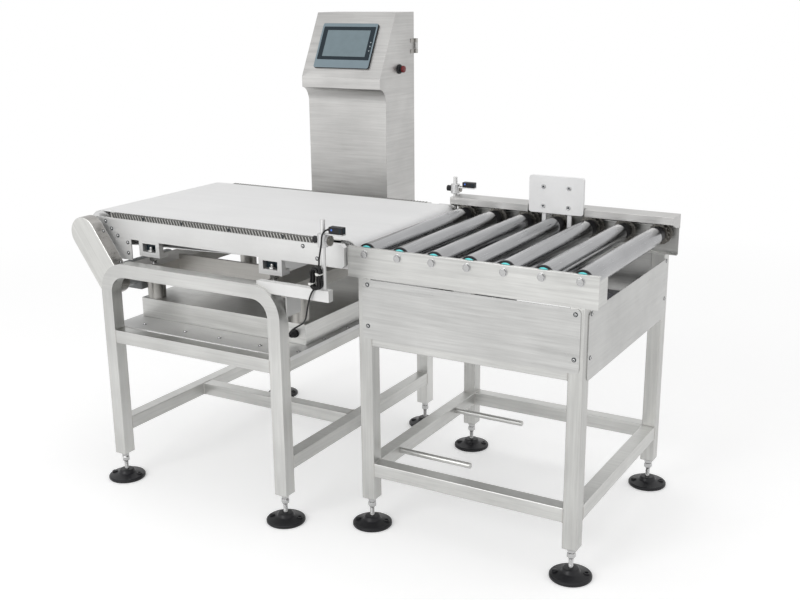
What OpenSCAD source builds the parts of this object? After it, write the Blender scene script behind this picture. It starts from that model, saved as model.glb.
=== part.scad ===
// Checkweigher with a belt weighing deck, a powered roller outfeed with a pusher, and a console column.
// X runs along the travel, from the drive drum to the last roller. Y runs from the front to the console.
// Places are written from the outer front left corner of the roller stand and moved to the model's origin.

/* [Frame tube and feet] */
// Outer width of the square frame tube
tube_w = 38; // [34:1:42]
// Wall of the frame tube
tube_wall = 2; // [1.5:0.5:3]
// Height of the leg bottoms above the floor
leg_clearance = 80; // [76:1:100]
// Diameter of a foot pad
pad_d = 105; // [80:1:120]
// Height of a foot pad with its hub
pad_h = 26; // [22:1:32]
// Diameter of a foot stud
stud_d = 12; // [10:1:14]
// Length of stud inside the leg
stud_inside = 60; // [45:1:90]

/* [Roller stand] */
// Length of the roller stand along the travel
stand_len = 600; // [590:1:640]
// Depth of the roller stand
stand_depth = 630; // [626:1:700]
// Height of the leg tops
stand_top = 684; // [670:1:700]
// Underside of the lower rails of both stands
low_rail_z = 148; // [130:1:200]
// Underside of the upper rails
high_rail_z = 507; // [490:1:510]
// Length of the two round rods on the lower left rail
rod_len = 212; // [120:1:300]
// Diameter of the two round rods
rod_d = 16; // [12:1:20]
// Height of the front and rear skirts
front_skirt_h = 154; // [120:1:160]
// Height of the side skirts
side_skirt_h = 165; // [120:1:170]
// Thickness of skirts, pans and covers
sheet = 2; // [1.5:0.5:2.5]

/* [Roller conveyor] */
// Distance between roller axes
roller_pitch = 94; // [92:1:96]
// Roller tube diameter
roller_d = 50; // [46:1:52]
// Height of the roller axes
roller_z = 745; // [744:1:748]
// Length of a roller tube
roller_len = 497; // [470:1:500]
// Axle diameter
axle_d = 12; // [10:1:14]
// Wall of a roller tube
roller_wall = 2; // [1.5:0.5:3]
// Teeth on a sprocket
sprocket_teeth = 14; // [10:1:18]
// Tip diameter of a sprocket
sprocket_d = 56; // [50:1:58]
// Height of the side rails
rail_h = 78; // [76:1:84]
// Depth of a rail flange
rail_flange = 10; // [8:1:11]
// Thickness of the rails
rail_t = 3; // [2:0.5:4]
// Height of the chain guard top above the rails
guard_rise = 33; // [31:1:40]

/* [Pusher] */
// Width of the pusher plate
plate_w = 160; // [130:1:164]
// Height of the pusher plate
plate_h = 104; // [90:1:140]
// Thickness of the pusher plate
plate_t = 8; // [6:1:10]
// Distance between the pusher arms
arm_spacing = 74; // [70:1:78]
// Width of a pusher arm
arm_w = 12; // [8:1:14]

/* [Weighing stand] */
// Gap between the two stands
stand_gap = 175; // [170:1:200]
// Length of the weighing stand along the travel
weigh_len = 612; // [600:1:640]
// Depth of the weighing stand
weigh_depth = 815; // [800:1:860]
// Top of the bent hoops
hoop_top = 655; // [650:1:656]
// Outer radius of the hoop bends
bend_r = 86; // [70:1:100]
// Underside of the middle rails
mid_rail_z = 422; // [400:1:424]
// Height of the load cell box
box_h = 58; // [50:1:62]
// Diameter of a load post
post_d = 52; // [40:1:52]

/* [Weighing deck] */
// Radius of the drive drum
drum_r = 45; // [40:1:45]
// Radius of the idler roller
idler_r = 30; // [26:1:32]
// Belt thickness
belt_t = 1.7; // [1.5:0.1:2]
// Belt width
belt_w = 527; // [500:1:530]
// Height of the belt surface
belt_top = 770; // [769:0.5:772]
// Distance between drum and idler axes
axis_distance = 838; // [830:1:850]
// Height of the deck side plates
side_plate_h = 56; // [50:1:58]
// Radius of the drive cover
cover_r = 46; // [44:1:48]
// Depth of the drive cover
cover_depth = 38; // [36:1:44]
// Motor radius
motor_r = 36; // [30:1:37]
// Motor length
motor_len = 214; // [160:1:230]

/* [Sensors] */
// Diameter of the sensor posts
sensor_post_d = 12; // [10:1:13]
// Height of the front sensor post above its bar
front_post_h = 176; // [170:1:200]
// Diameter of the sensor lead
lead_d = 4.4; // [3.6:0.1:4.4]

/* [Console] */
// Width of the console column
column_w = 290; // [270:1:320]
// Depth of the column below the lip
column_depth = 178; // [150:1:220]
// Height of the column top above the floor
column_top = 1304; // [1280:1:1340]
// Height of the panel on the slanted face
panel_h = 150; // [130:1:160]
// Width of the panel on the slanted face
panel_w = 204; // [180:1:210]

/* [Hidden] */
$fn = 48;

// Shared clearances
fit = 0.05;
running_gap = 0.3;
cut = 1;
weld_gap = 0.05;

// Stands
weigh_x1 = -stand_gap;
weigh_x0 = weigh_x1 - weigh_len;
weigh_y0 = -98;
weigh_y1 = weigh_y0 + weigh_depth;
weigh_mid_x = (weigh_x0 + weigh_x1)/2;
plug_t = 6;
stud_r = stud_d/2;
nut_h = 13;
nut_r = 11;
nut_gap = 1;
foot_inset = tube_w/2;
weigh_foot_x = [weigh_x0 + foot_inset, weigh_x1 - foot_inset];
weigh_foot_y = [weigh_y0 + foot_inset, weigh_y1 - foot_inset];
transfer_foot_x = [foot_inset, stand_len - foot_inset];
transfer_foot_y = [foot_inset, stand_depth - foot_inset];
pad_profile_shares = [[0, 0], [0.96, 0], [1, 0.08], [1, 0.3], [0.93, 0.4], [0.5, 0.58], [0.4, 0.94],
  [0.34, 1], [0, 1]];
pad_sole_t = 4;
rod_y_shares = [0.224, 0.749];
rod_axis_share = 0.58;

// Skirts and rails of the roller stand
front_skirt_inset = [14, 10];
side_skirt_inset = [20, 16];
front_skirt_drop = 3;
side_skirt_drop = 14;
skirt_corner_r = 12;
rail_overhang = [26, 31];
rail_front_y = -4;
rear_rail_inset = 28;
rear_rail_back = stand_depth - rear_rail_inset;
rail_x = [-rail_overhang[0], stand_len + rail_overhang[1]];
rail_z = [stand_top, stand_top + rail_h];
end_bracket_y = [12, 50];
end_bracket_z_shares = [0.08, 0.85];

// Rollers
roller_count = 7;
first_roller_x = 23;
roller_y0 = 13;
rim_w = 5;
cap_w = 1;
cap_r_share = 0.8;
hub_r = 22;
hub_len = 42;
sprocket_hub_r = 18;
sprocket_hub_len = 33;
sprocket_t = 4;
sprocket_y = [558, 576];
tooth_root_share = 0.86;
tooth_width_shares = [0.18, 0.36, 0.64, 0.82];
chain_t = 3.2;
chain_w = 6;
head_h = 6;
head_r = 9;
roller_y1 = roller_y0 + roller_len;
hub_y0 = roller_y1 + fit;
hub_y1 = hub_y0 + hub_len;
sprocket_hub_y0 = hub_y1 + fit;
rail_inner_y = [rail_front_y + rail_t, rear_rail_back - rail_t];
motor_stator_r = 20;
motor_stator_y_shares = [0.25, 0.75];

// Chain guard
guard_overhang = [22, 32];
guard_back_lip = 2;
guard_depth = 66;
guard_x = [-guard_overhang[0], stand_len + guard_overhang[1]];
guard_y1 = rear_rail_back + guard_back_lip;
guard_y = [guard_y1 - guard_depth, guard_y1];
guard_top = rail_z[1] + guard_rise;
guard_lip_h = 20;
guard_back_lap = 5;
notch_gap = 3;
notch_depth = 18;

// Pusher
pusher_x = first_roller_x + 3*roller_pitch;
plate_y0 = 536;
plate_clear = 6;
plate_z0 = roller_z + roller_d/2 + plate_clear;
plate_corner_r = 8;
arm_t = 8;
arm_top_drop = 18;
carriage_w = 110;
carriage_y = [500, 575];
carriage_z = [655, 688];
cheek_w = 8;
cheek_h = 25;
profile_w = 50;
profile_h = 45;
profile_y = [70, 585];
cross_bar_y = [110, 500];
riser_w = 40;
slide_gap = 0.1;

// Weighing stand contents
low_cross_y_share = 0.44;
low_cross_y = weigh_y0 + low_cross_y_share*weigh_depth;
pan_y = [weigh_y0 + tube_w, weigh_y1 - tube_w];
pan_z = mid_rail_z + tube_w + weld_gap;
pan_lip_h = 11;
rear_panel_h = 154;
rear_panel_inset = 12;
deck_margin = 18;
deck_y = [0, belt_w + 2*deck_margin];
deck_mid_y = (deck_y[0] + deck_y[1])/2;
box_y = [39, 524];
box_inset = 17;
box_x = [weigh_x0 + box_inset, weigh_x1 - box_inset];
box_z = pan_z + sheet;
box_top = box_z + box_h;
cell_size = [150, 40, 40];
cell_hole_d = 22;
cell_hole_offset = 14;
post_x_offset = 253;
post_y_inset = 66;
channel_z = [600, 635];
channel_x_offset = [183, 275];
channel_wall = 3;
beam_y = [90, 98];
beam_h = 50;

// Deck
drum_x = -880;
drum_z = belt_top - drum_r - belt_t - running_gap;
idler_x = drum_x + axis_distance;
idler_z = belt_top - idler_r - belt_t - running_gap;
belt_y = [deck_margin, deck_margin + belt_w];
belt_inner_gap = running_gap;
deck_x = [-789, -181];
side_plate_t = 3;
side_plate_top = 756;
side_plate_z = [side_plate_top - side_plate_h, side_plate_top];
bracket_x_offset = 210;
bracket_w = 75;
bracket_depth = 17.5;
bracket_foot_depth = 35;
bracket_wall = 14;
bracket_base_z = 656;
bed_t = 3;
bed_x = [-850, -60];
bed_edge_gap = 2;
cross_tube_x = [-760, -500, -240];
shaft_r = 10;
idler_shaft_r = 8;
shell_t = 4;
left_plate_back_x = -905;
left_plate_foot_x = [-800, -757];
left_plate_foot_z = 640;
left_plate_nose_z = 698;
right_plate_x1 = -28;
cap_x = [-85, -37];
cap_z = [704, 765];
cap_t = 16;
cap_chamfer = 8;
strip_x = [-829, -95];
strip_w = 16;
strip_h = 14;

// Belt drive
cover_axis = [-884, 716];
motor_axis = [-799, 592];
cover_y0 = -57;
drive_plate_t = 3;
cover_y1 = cover_y0 + cover_depth;
drive_plate_y = [cover_y1 + fit, cover_y1 + fit + drive_plate_t];
drive_plate_inset = 2;
drive_plate_r = cover_r - drive_plate_inset;
pulley_r = [30, 20];
pulley_w = 18;
timing_belt_t = 2;
cover_skin = 1.5;
pulley_y = cover_y0 + (cover_depth - pulley_w)/2;
motor_shaft_r = 7;
motor_box_w = 60;
motor_box_h = 50;
motor_box_y = [40, 110];
motor_shaft_len = 30;

// Sensors
sensor_bar_x1 = -30;
sensor_bar_inner_x = -250;
sensor_bar_y = [-88, -68];
sensor_bar_z = [634, 664];
gusset_y = [-68, -6];
gusset_z = [572, 626];
gusset_t = 3;
front_post_x = -48;
front_post_y = (sensor_bar_y[0] + sensor_bar_y[1])/2;
rear_post = [-33, 594];
rear_block_w = 14;
rear_block_d = 16;
rear_block_top = 740;
rear_post_top = 845;
front_clamp_x = [-62, -34];
front_clamp_z = [772, 805];
rear_clamp_x = [-46, -20];
rear_clamp_z = [797, 824];
clamp_d = 28;
shelf_t = 3;
shelf_w = 20;
front_shelf_x = [-60, 13];
rear_shelf_x1 = 31;
rear_shelf_z = 814;
front_sensor_x = [-26, 13];
rear_sensor_x = [-7, 31];
sensor_w = 18;
front_sensor_h = 17;
rear_sensor_h = 15;
knob_len = 14;
knob_r = 8.5;
rosette_r = 13;
rosette_t = 10;
rear_rosette_r = 9;
rear_rosette_t = 6;
knob_shank_r = 3;
knob_shank_len = 5.5;
knob_flutes = 18;
flute_r_share = 0.09;
sensor_post_r = sensor_post_d/2;

// Cable gland on the load cell box
gland_x = -226;
gland_z = 492;
gland_len = 22;
gland_r = 9;
gland_nut_r = 11;
gland_nut_len = 8;
gland_flange_r = 12;
gland_flange_t = 4;

// Hank of lead: loops side by side in four layers, drawn in at the waist
hank_x = -58;
hank_z = 696;
hank_y = [-106, -91];
hank_run = 28;
hank_outer_r = 15;
hank_layers = 4;
hank_loops = 6;
hank_climb = 0.5;
hank_end_share = 0.375;
hank_end = hank_loops + hank_end_share;
hank_step = 5;
hank_waist = 1.5;
hank_sweep = hank_end/hank_layers;
hank_pitch = (hank_y[1] - hank_y[0])/(hank_layers - 1);
loop_rings = 24;
cord_sides = 6;
lead_r = lead_d/2;

// Free stretches of the lead, from the sensor to the hank and from the hank to the gland
lead_upper = [
  [-26, -78, 816], [-30, -78, 816], [-35, -81, 815], [-38, -87, 812], [-39, -94, 806],
  [-38, -99, 797], [-37, -102, 786], [-38, -104, 774], [-40, -105, 761], [-42, -106, 747],
  [-43, -106, 734], [-43, -106, 722], [-43, -106, 710]
];
lead_lower = [
  [-58, -91, 667], [-62, -91, 667], [-68, -92, 665], [-74, -93, 659], [-79, -94, 649],
  [-83, -95, 637], [-87, -95, 623], [-91, -94, 609], [-96, -90, 596], [-103, -83, 585],
  [-112, -73, 576], [-124, -60, 567], [-139, -44, 556], [-158, -28, 544], [-180, -18, 531],
  [-199, -10, 519], [-213, -4, 506], [-222, 3, 496], [-226, 10, 492], [-226, 17, 492]
];
lead_steps = 2;
lead_sides = 8;
cord_ref = [1, 1, -1];

// Column
column_x1 = -340;
column_x0 = column_x1 - column_w;
column_y0 = weigh_y1 + weld_gap;
column_y1 = column_y0 + column_depth;
column_z0 = mid_rail_z;
lip_reach = 35;
lip_y = weigh_y1 - lip_reach;
lip_drops = [228, 196];
lip_z = [column_top - lip_drops[0], column_top - lip_drops[1]];
slant_run = 102;
slant_top_y = lip_y + slant_run;
undercut_drop = 273;
undercut_z = column_top - undercut_drop;
undercut_steps = 8;
door_gap = running_gap;
door_inset = 4;
door_top_drop = 14;
door_z = [440, column_top - door_top_drop];
flange_w = 18;
hinge_top_drop = 128;
hinge_z = [500, column_top - hinge_top_drop];
hinge_h = 46;
hinge_leaf_t = 2;
hinge_leaf_w = 22;
barrel_r = 5;
pin_r = 2.5;
hinge_pin_x = column_x1 + barrel_r;
knuckle_share = 0.44;
knuckle_gap = 0.3;
latch_r = 8;
latch_head_r = 11;
latch_head_t = 3;
latch_inset = 34;
latch_z = 865;
latch_cam = [14, 8, 3];
slant_angle = atan2(column_top - lip_z[1], slant_top_y - lip_y);
panel_u = [48, 31];
panel_t = 7;
panel_depth = 34;
panel_inset = 6;
screen_size = [158, 88];
screen_corner = [22, 38];
screen_recess = 1;
screen_t = 2;
switch_set_back = 118;
switch_drop = 172;
switch_y = lip_y + switch_set_back;
switch_z = column_top - switch_drop;
collar_r = 15;
collar_t = 6;
switch_r = 11;
switch_len = 20;
switch_back = 10;

// Screws, bolts and nuts
button_r = 5;
button_h = 3;
adjust_bolt_r = 8;
adjust_nut_r = 14;
adjust_nut_h = 12;
deck_screws = [[-849, 745], [-828, 725], [-806, 706], [-770, 660], [-770, 690], [-164, 745], [-121, 717]];
skirt_screw_inset = [15, 13];
skirt_screw_low = 34;
side_screw_top = 6;
side_screw_low = 54;
pan_screw_x = [-709, -560, -439, -300];
pan_screw_y = -20;
pan_side_screw_y = [-10, 110, 230, 350, 470];
pan_side_screw_inset = 7;

// The model's origin is under the middle of its box, on the floor
barrel_y = column_y1 + door_gap + sheet + barrel_r;
left_end = cover_axis[0] - cover_r;
right_end = max(transfer_foot_x[1] + pad_d/2, guard_x[1]);
front_end = weigh_foot_y[0] - pad_d/2;
back_end = barrel_y + barrel_r;
mid_x = (left_end + right_end)/2;
mid_y = (front_end + back_end)/2;

module placed() { translate([-mid_x, -mid_y, 0]) children(); }

// A block between two places on each axis
module span(x, y, z) {
  translate([x[0], y[0], z[0]]) cube([x[1] - x[0], y[1] - y[0], z[1] - z[0]]);
}

// Frame tubes with open ends
module tube_x(x, y, z) {
  difference() {
    span(x, [y, y + tube_w], [z, z + tube_w]);
    span([x[0] - cut, x[1] + cut], [y + tube_wall, y + tube_w - tube_wall], [z + tube_wall, z + tube_w - tube_wall]);
  }
}
module tube_y(x, y, z) {
  difference() {
    span([x, x + tube_w], y, [z, z + tube_w]);
    span([x + tube_wall, x + tube_w - tube_wall], [y[0] - cut, y[1] + cut], [z + tube_wall, z + tube_w - tube_wall]);
  }
}

// Turns a shape drawn in X and Z, so that it runs along +Y from y
module along_y(y, depth) {
  translate([0, y + depth, 0]) rotate([90, 0, 0]) linear_extrude(depth) children();
}

// A round bar along +Y
module rod_y(x, z, y, r) {
  translate([x, y[0], z]) rotate([-90, 0, 0]) cylinder(h = y[1] - y[0], r = r);
}

// A round bar along +X
module rod_x(y, z, x, r) {
  translate([x[0], y, z]) rotate([0, 90, 0]) cylinder(h = x[1] - x[0], r = r);
}

// The same piece at the front and, mirrored, at the rear of the deck
module both_sides() {
  children();
  translate([0, 2*deck_mid_y, 0]) mirror([0, 1, 0]) children();
}

// A rectangle with round corners, from its low corner
module round_rect(size, r) {
  translate([r, 0]) square([size[0] - 2*r, size[1]]);
  translate([0, r]) square([size[0], size[1] - 2*r]);
  for (x = [r, size[0] - r], y = [r, size[1] - r]) translate([x, y]) circle(r);
}

// The outline of a band that runs round two circles
function loop_outline(a, ra, b, rb, n = 40) =
  let (d = norm(b - a), lean = atan2(b[1] - a[1], b[0] - a[0]), grip = acos((ra - rb)/d))
  concat(
    [for (i = [0:n]) let (t = lean + grip + i*(360 - 2*grip)/n) a + ra*[cos(t), sin(t)]],
    [for (i = [0:n]) let (t = lean - grip + i*2*grip/n) b + rb*[cos(t), sin(t)]]);

// Two circles of one radius joined by a straight band
module obround(a, b, r) {
  translate(a) circle(r);
  translate(b) circle(r);
  translate(a) rotate(atan2(b[1] - a[1], b[0] - a[0])) translate([0, -r]) square([norm(b - a), 2*r]);
}

// Swept cord: rings of one radius along a list of points, closed at both ends
function unit(v) = v/norm(v);
function tangent(p, i) = unit(p[min(i + 1, len(p) - 1)] - p[max(i - 1, 0)]);
function ring(c, t, ref, r, n) =
  let (u = unit(cross(t, ref)), v = cross(t, u)) [for (k = [0:n - 1]) c + r*(cos(360*k/n)*u + sin(360*k/n)*v)];
function sweep_points(p, r, ref, n) = [for (i = [0:len(p) - 1]) each ring(p[i], tangent(p, i), ref, r, n)];
function sweep_faces(m, n) = concat(
  [for (i = [0:m - 2], k = [0:n - 1]) each
    let (a = i*n + k, b = i*n + (k + 1) % n) [[a, b, b + n], [a, b + n, a + n]]],
  [for (k = [1:n - 2]) [0, k + 1, k]],
  [for (k = [1:n - 2]) [(m - 1)*n, (m - 1)*n + k, (m - 1)*n + k + 1]]);
module sweep(p, r, ref, n) {
  polyhedron(points = sweep_points(p, r, ref, n), faces = sweep_faces(len(p), n), convexity = 10);
}

// A smooth curve through hand-chosen points
function spline_at(a, b, c, d, t) =
  0.5*(2*b + t*(c - a) + t*t*(2*a - 5*b + 4*c - d) + t*t*t*(3*b - a - 3*c + d));
function smooth(p, n) = concat(
  [for (i = [0:len(p) - 2], k = [0:n - 1])
    spline_at(p[max(i - 1, 0)], p[i], p[i + 1], p[min(i + 2, len(p) - 1)], k/n)],
  [p[len(p) - 1]]);

// Feet, each a plastic pad on a threaded stud
module foot(x, y) {
  placed() translate([x, y, 0]) {
    color([0.06, 0.06, 0.07]) difference() {
      rotate_extrude($fn = 64) polygon([for (s = pad_profile_shares) [s[0]*pad_d/2, s[1]*pad_h]]);
      translate([0, 0, pad_sole_t]) cylinder(h = pad_h, r = stud_r + fit);
    }
    color([0.7, 0.7, 0.72]) translate([0, 0, pad_sole_t + fit])
      cylinder(h = leg_clearance + stud_inside - pad_sole_t, r = stud_r);
  }
}

// Legs with a plugged, bored bottom
module leg(x, y, top) {
  difference() {
    span([x, x + tube_w], [y, y + tube_w], [leg_clearance, top]);
    span([x + tube_wall, x + tube_w - tube_wall], [y + tube_wall, y + tube_w - tube_wall],
      [leg_clearance + plug_t, top - tube_wall]);
    translate([x + tube_w/2, y + tube_w/2, leg_clearance - cut]) cylinder(h = plug_t + 2*cut, r = stud_r + fit);
  }
}
module transfer_legs() {
  color([0.75, 0.75, 0.74]) placed()
    for (x = [0, stand_len - tube_w], y = [0, stand_depth - tube_w]) leg(x, y, stand_top);
}

module transfer_rails() {
  inner_x = [tube_w + weld_gap, stand_len - tube_w - weld_gap];
  inner_y = [tube_w + weld_gap, stand_depth - tube_w - weld_gap];
  rod_z = low_rail_z + rod_axis_share*tube_w;
  color([0.72, 0.72, 0.71]) placed() {
    for (z = [low_rail_z, high_rail_z]) {
      for (y = [0, stand_depth - tube_w]) tube_x(inner_x, y, z);
      for (x = [0, stand_len - tube_w]) tube_y(x, inner_y, z);
    }
    for (s = rod_y_shares) rod_x(s*stand_depth, rod_z, [tube_w, tube_w + rod_len], rod_d/2);
  }
}

module skirt_panels() {
  long_w = stand_len - front_skirt_inset[0] - front_skirt_inset[1];
  side_w = stand_depth - side_skirt_inset[0] - side_skirt_inset[1];
  long_z = stand_top - front_skirt_drop - front_skirt_h;
  side_z = stand_top - side_skirt_drop - side_skirt_h;
  color([0.78, 0.78, 0.77]) placed() {
    for (y = [-sheet, stand_depth])
      translate([front_skirt_inset[0], 0, long_z]) along_y(y, sheet) round_rect([long_w, front_skirt_h], skirt_corner_r);
    for (x = [-sheet, stand_len])
      translate([x, side_skirt_inset[0], side_z]) rotate([90, 0, 90]) linear_extrude(sheet)
        round_rect([side_w, side_skirt_h], skirt_corner_r);
  }
}

// Channel rails that carry the rollers, with a bracket at each end of the front rail
module roller_rails() {
  bracket_z = [for (s = end_bracket_z_shares) rail_z[0] + s*rail_h];
  color([0.76, 0.76, 0.75]) placed() {
    span(rail_x, [rail_front_y, rail_inner_y[0]], rail_z);
    span(rail_x, [rail_inner_y[1], rear_rail_back], rail_z);
    for (z = [rail_z[0], rail_z[1] - rail_t]) {
      span(rail_x, [rail_front_y, rail_front_y + rail_flange], [z, z + rail_t]);
      span(rail_x, [rear_rail_back - rail_flange - rail_t, rear_rail_back], [z, z + rail_t]);
    }
    span([rail_x[0], rail_x[0] + rail_t], [rail_front_y, end_bracket_y[0]], bracket_z);
    span([rail_x[1] - rail_t, rail_x[1]], [rail_front_y, end_bracket_y[1]], bracket_z);
  }
}

module roller_axles() {
  color([0.6, 0.6, 0.62]) placed()
    for (i = [0:roller_count - 1]) rod_y(first_roller_x + i*roller_pitch, roller_z, rail_inner_y, axle_d/2);
}

// A toothed disc in the X and Z plane
module sprocket_2d() {
  tip = sprocket_d/2;
  radii = [tooth_root_share*tip, tip, tip, tooth_root_share*tip];
  polygon([for (i = [0:sprocket_teeth - 1], k = [0:len(radii) - 1])
    let (t = (i + tooth_width_shares[k])*360/sprocket_teeth) radii[k]*[cos(t), sin(t)]]);
}

module roller(i) {
  r = roller_d/2;
  bore = axle_d/2 + fit;
  placed() translate([first_roller_x + i*roller_pitch, 0, roller_z]) {
    color([0.7, 0.7, 0.71]) difference() {
      rod_y(0, 0, [roller_y0, roller_y1], r);
      rod_y(0, 0, [roller_y0 - cut, roller_y1 + cut], r - roller_wall);
    }
    color([0.1, 0.1, 0.1]) difference() {
      rod_y(0, 0, [roller_y0 - rim_w, roller_y0 - fit], r);
      rod_y(0, 0, [roller_y0 - rim_w - cut, roller_y0 + cut], bore);
    }
    color([0.1, 0.6, 0.65]) difference() {
      rod_y(0, 0, [roller_y0 - rim_w - cap_w, roller_y0 - rim_w - fit], cap_r_share*r);
      rod_y(0, 0, [roller_y0 - rim_w - cap_w - cut, roller_y0], bore);
    }
    color([0.12, 0.12, 0.12]) difference() {
      rod_y(0, 0, [hub_y0, hub_y1], hub_r);
      rod_y(0, 0, [hub_y0 - cut, hub_y1 + cut], bore);
    }
    color([0.5, 0.5, 0.5]) difference() {
      union() {
        rod_y(0, 0, [sprocket_hub_y0, sprocket_hub_y0 + sprocket_hub_len], sprocket_hub_r);
        for (y = sprocket_y) along_y(y, sprocket_t) sprocket_2d();
      }
      rod_y(0, 0, [sprocket_hub_y0 - cut, sprocket_hub_y0 + sprocket_hub_len + cut], bore);
    }
  }
}

// Chains link each roller to the next, in two planes by turns
module drive_chains() {
  inner = sprocket_d/2 + running_gap;
  side_gap = (chain_w - sprocket_t)/2;
  color([0.45, 0.44, 0.42]) placed()
    for (i = [0:roller_count - 2]) {
      a = [first_roller_x + i*roller_pitch, roller_z];
      b = [a[0] + roller_pitch, roller_z];
      along_y(sprocket_y[i % 2] - side_gap, chain_w) difference() {
        obround(a, b, inner + chain_t);
        obround(a, b, inner);
      }
    }
}

// Motor held on the axle inside the first roller
module roller_motor() {
  y = [for (s = motor_stator_y_shares) roller_y0 + s*roller_len];
  color([0.3, 0.3, 0.32]) placed() difference() {
    rod_y(first_roller_x, roller_z, y, motor_stator_r);
    rod_y(first_roller_x, roller_z, [y[0] - cut, y[1] + cut], axle_d/2 + fit);
  }
}

// Cover over the chains, notched for the pusher plate
module chain_guard() {
  z = [rail_z[1] + weld_gap, guard_top];
  notch_x = [pusher_x - plate_w/2 - notch_gap, pusher_x + plate_w/2 + notch_gap];
  color([0.7, 0.7, 0.69]) placed() difference() {
    union() {
      span(guard_x, guard_y, [z[1] - sheet, z[1]]);
      span(guard_x, [guard_y[0], guard_y[0] + sheet], [z[1] - guard_lip_h, z[1]]);
      span(guard_x, [guard_y[1] - sheet + weld_gap, guard_y[1]], [rail_z[1] - guard_back_lap, z[1]]);
      for (x = [guard_x[0], guard_x[1] - sheet]) translate([x, 0, 0]) rotate([90, 0, 90]) linear_extrude(sheet)
        polygon([[guard_y[0], z[1]], [guard_y[0], z[1] - guard_lip_h], [(guard_y[0] + guard_y[1])/2, z[0]],
          [guard_y[1], z[0]], [guard_y[1], z[1]]]);
    }
    span(notch_x, [guard_y[0] - cut, guard_y[0] + notch_depth], [z[0], z[1] + cut]);
  }
}

module pusher_plate() {
  color([0.9, 0.9, 0.9]) placed() translate([pusher_x - plate_w/2, 0, plate_z0])
    along_y(plate_y0, plate_t) round_rect([plate_w, plate_h], plate_corner_r);
}

// Carriage that runs on the guide, with the two arms that carry the plate
module pusher_carriage() {
  arm_y = [plate_y0 + plate_t, plate_y0 + plate_t + arm_t];
  side = profile_w/2 + slide_gap;
  color([0.85, 0.85, 0.85]) placed() {
    span([pusher_x - carriage_w/2, pusher_x + carriage_w/2], carriage_y, [carriage_z[0] + slide_gap, carriage_z[1]]);
    for (s = [-1, 1]) {
      span([pusher_x + s*arm_spacing/2 - arm_w/2, pusher_x + s*arm_spacing/2 + arm_w/2], arm_y,
        [carriage_z[1] - weld_gap, plate_z0 + plate_h - arm_top_drop]);
      span([pusher_x + min(s*side, s*(side + cheek_w)), pusher_x + max(s*side, s*(side + cheek_w))], carriage_y,
        [carriage_z[0] - cheek_h, carriage_z[0] + slide_gap + weld_gap]);
    }
  }
}

// Rodless cylinder on two cross bars
module pusher_cylinder() {
  bar_z = high_rail_z + tube_w + weld_gap;
  profile_z = carriage_z[0] - profile_h;
  color([0.25, 0.25, 0.27]) placed() {
    span([pusher_x - profile_w/2, pusher_x + profile_w/2], profile_y, [profile_z, carriage_z[0]]);
    for (y = cross_bar_y) {
      tube_x([0, stand_len], y, bar_z);
      span([pusher_x - riser_w/2, pusher_x + riser_w/2], [y, y + tube_w], [bar_z + tube_w, profile_z]);
    }
  }
}

// Front outline of a hoop, grown outwards by g
module hoop_2d(g) {
  w = weigh_len + 2*g;
  r = bend_r + g;
  inner_r = bend_r - tube_w - g;
  inner_w = weigh_len - 2*tube_w - 2*g;
  difference() {
    translate([weigh_mid_x - w/2, leg_clearance]) arch([w, hoop_top + g - leg_clearance], r);
    translate([weigh_mid_x - inner_w/2, leg_clearance - cut])
      arch([inner_w, hoop_top - tube_w - g - leg_clearance + cut], inner_r);
  }
}
module arch(size, r) {
  square([size[0], size[1] - r]);
  translate([r, 0]) square([size[0] - 2*r, size[1]]);
  for (x = [r, size[0] - r]) translate([x, size[1] - r]) circle(r, $fn = 96);
}
module weigh_hoops() {
  color([0.76, 0.76, 0.75]) placed() for (y = [weigh_y0, weigh_y1 - tube_w]) difference() {
    along_y(y, tube_w) hoop_2d(0);
    difference() {
      along_y(y + tube_wall, tube_w - 2*tube_wall) hoop_2d(-tube_wall);
      span([weigh_x0, weigh_x1], [y, y + tube_w], [leg_clearance - cut, leg_clearance + plug_t]);
    }
    for (x = weigh_foot_x) translate([x, y + tube_w/2, leg_clearance - cut])
      cylinder(h = plug_t + 2*cut, r = stud_r + fit);
  }
}

module weigh_rails() {
  inner_x = [weigh_x0 + tube_w + weld_gap, weigh_x1 - tube_w - weld_gap];
  inner_y = [pan_y[0] + weld_gap, pan_y[1] - weld_gap];
  color([0.72, 0.72, 0.71]) placed() {
    for (y = [weigh_y0, weigh_y1 - tube_w]) tube_x(inner_x, y, mid_rail_z);
    for (x = [weigh_x0, weigh_x1 - tube_w], z = [mid_rail_z, low_rail_z]) tube_y(x, inner_y, z);
    tube_x(inner_x, low_cross_y, low_rail_z);
  }
}

// Pan on the middle rails with folded edges, and the panel that closes its back
module instrument_pan() {
  y = [pan_y[0] + weld_gap, pan_y[1] - weld_gap];
  color([0.6, 0.6, 0.57]) placed() {
    span([weigh_x0 - sheet, weigh_x1 + sheet], y, [pan_z, pan_z + sheet]);
    for (x = [weigh_x0 - sheet, weigh_x1 + weld_gap])
      span([x, x + sheet - weld_gap], y, [pan_z + sheet - pan_lip_h, pan_z + sheet]);
    span([weigh_x0 + rear_panel_inset, weigh_x1 - rear_panel_inset], [y[1] - sheet, y[1]],
      [pan_z, pan_z + sheet + rear_panel_h]);
  }
}

module load_cell_box() {
  color([0.68, 0.68, 0.66]) placed() difference() {
    span(box_x, box_y, [box_z, box_top]);
    span([box_x[0] + sheet, box_x[1] - sheet], [box_y[0] + sheet, box_y[1] - sheet], [box_z + sheet, box_top - sheet]);
  }
}

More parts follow.
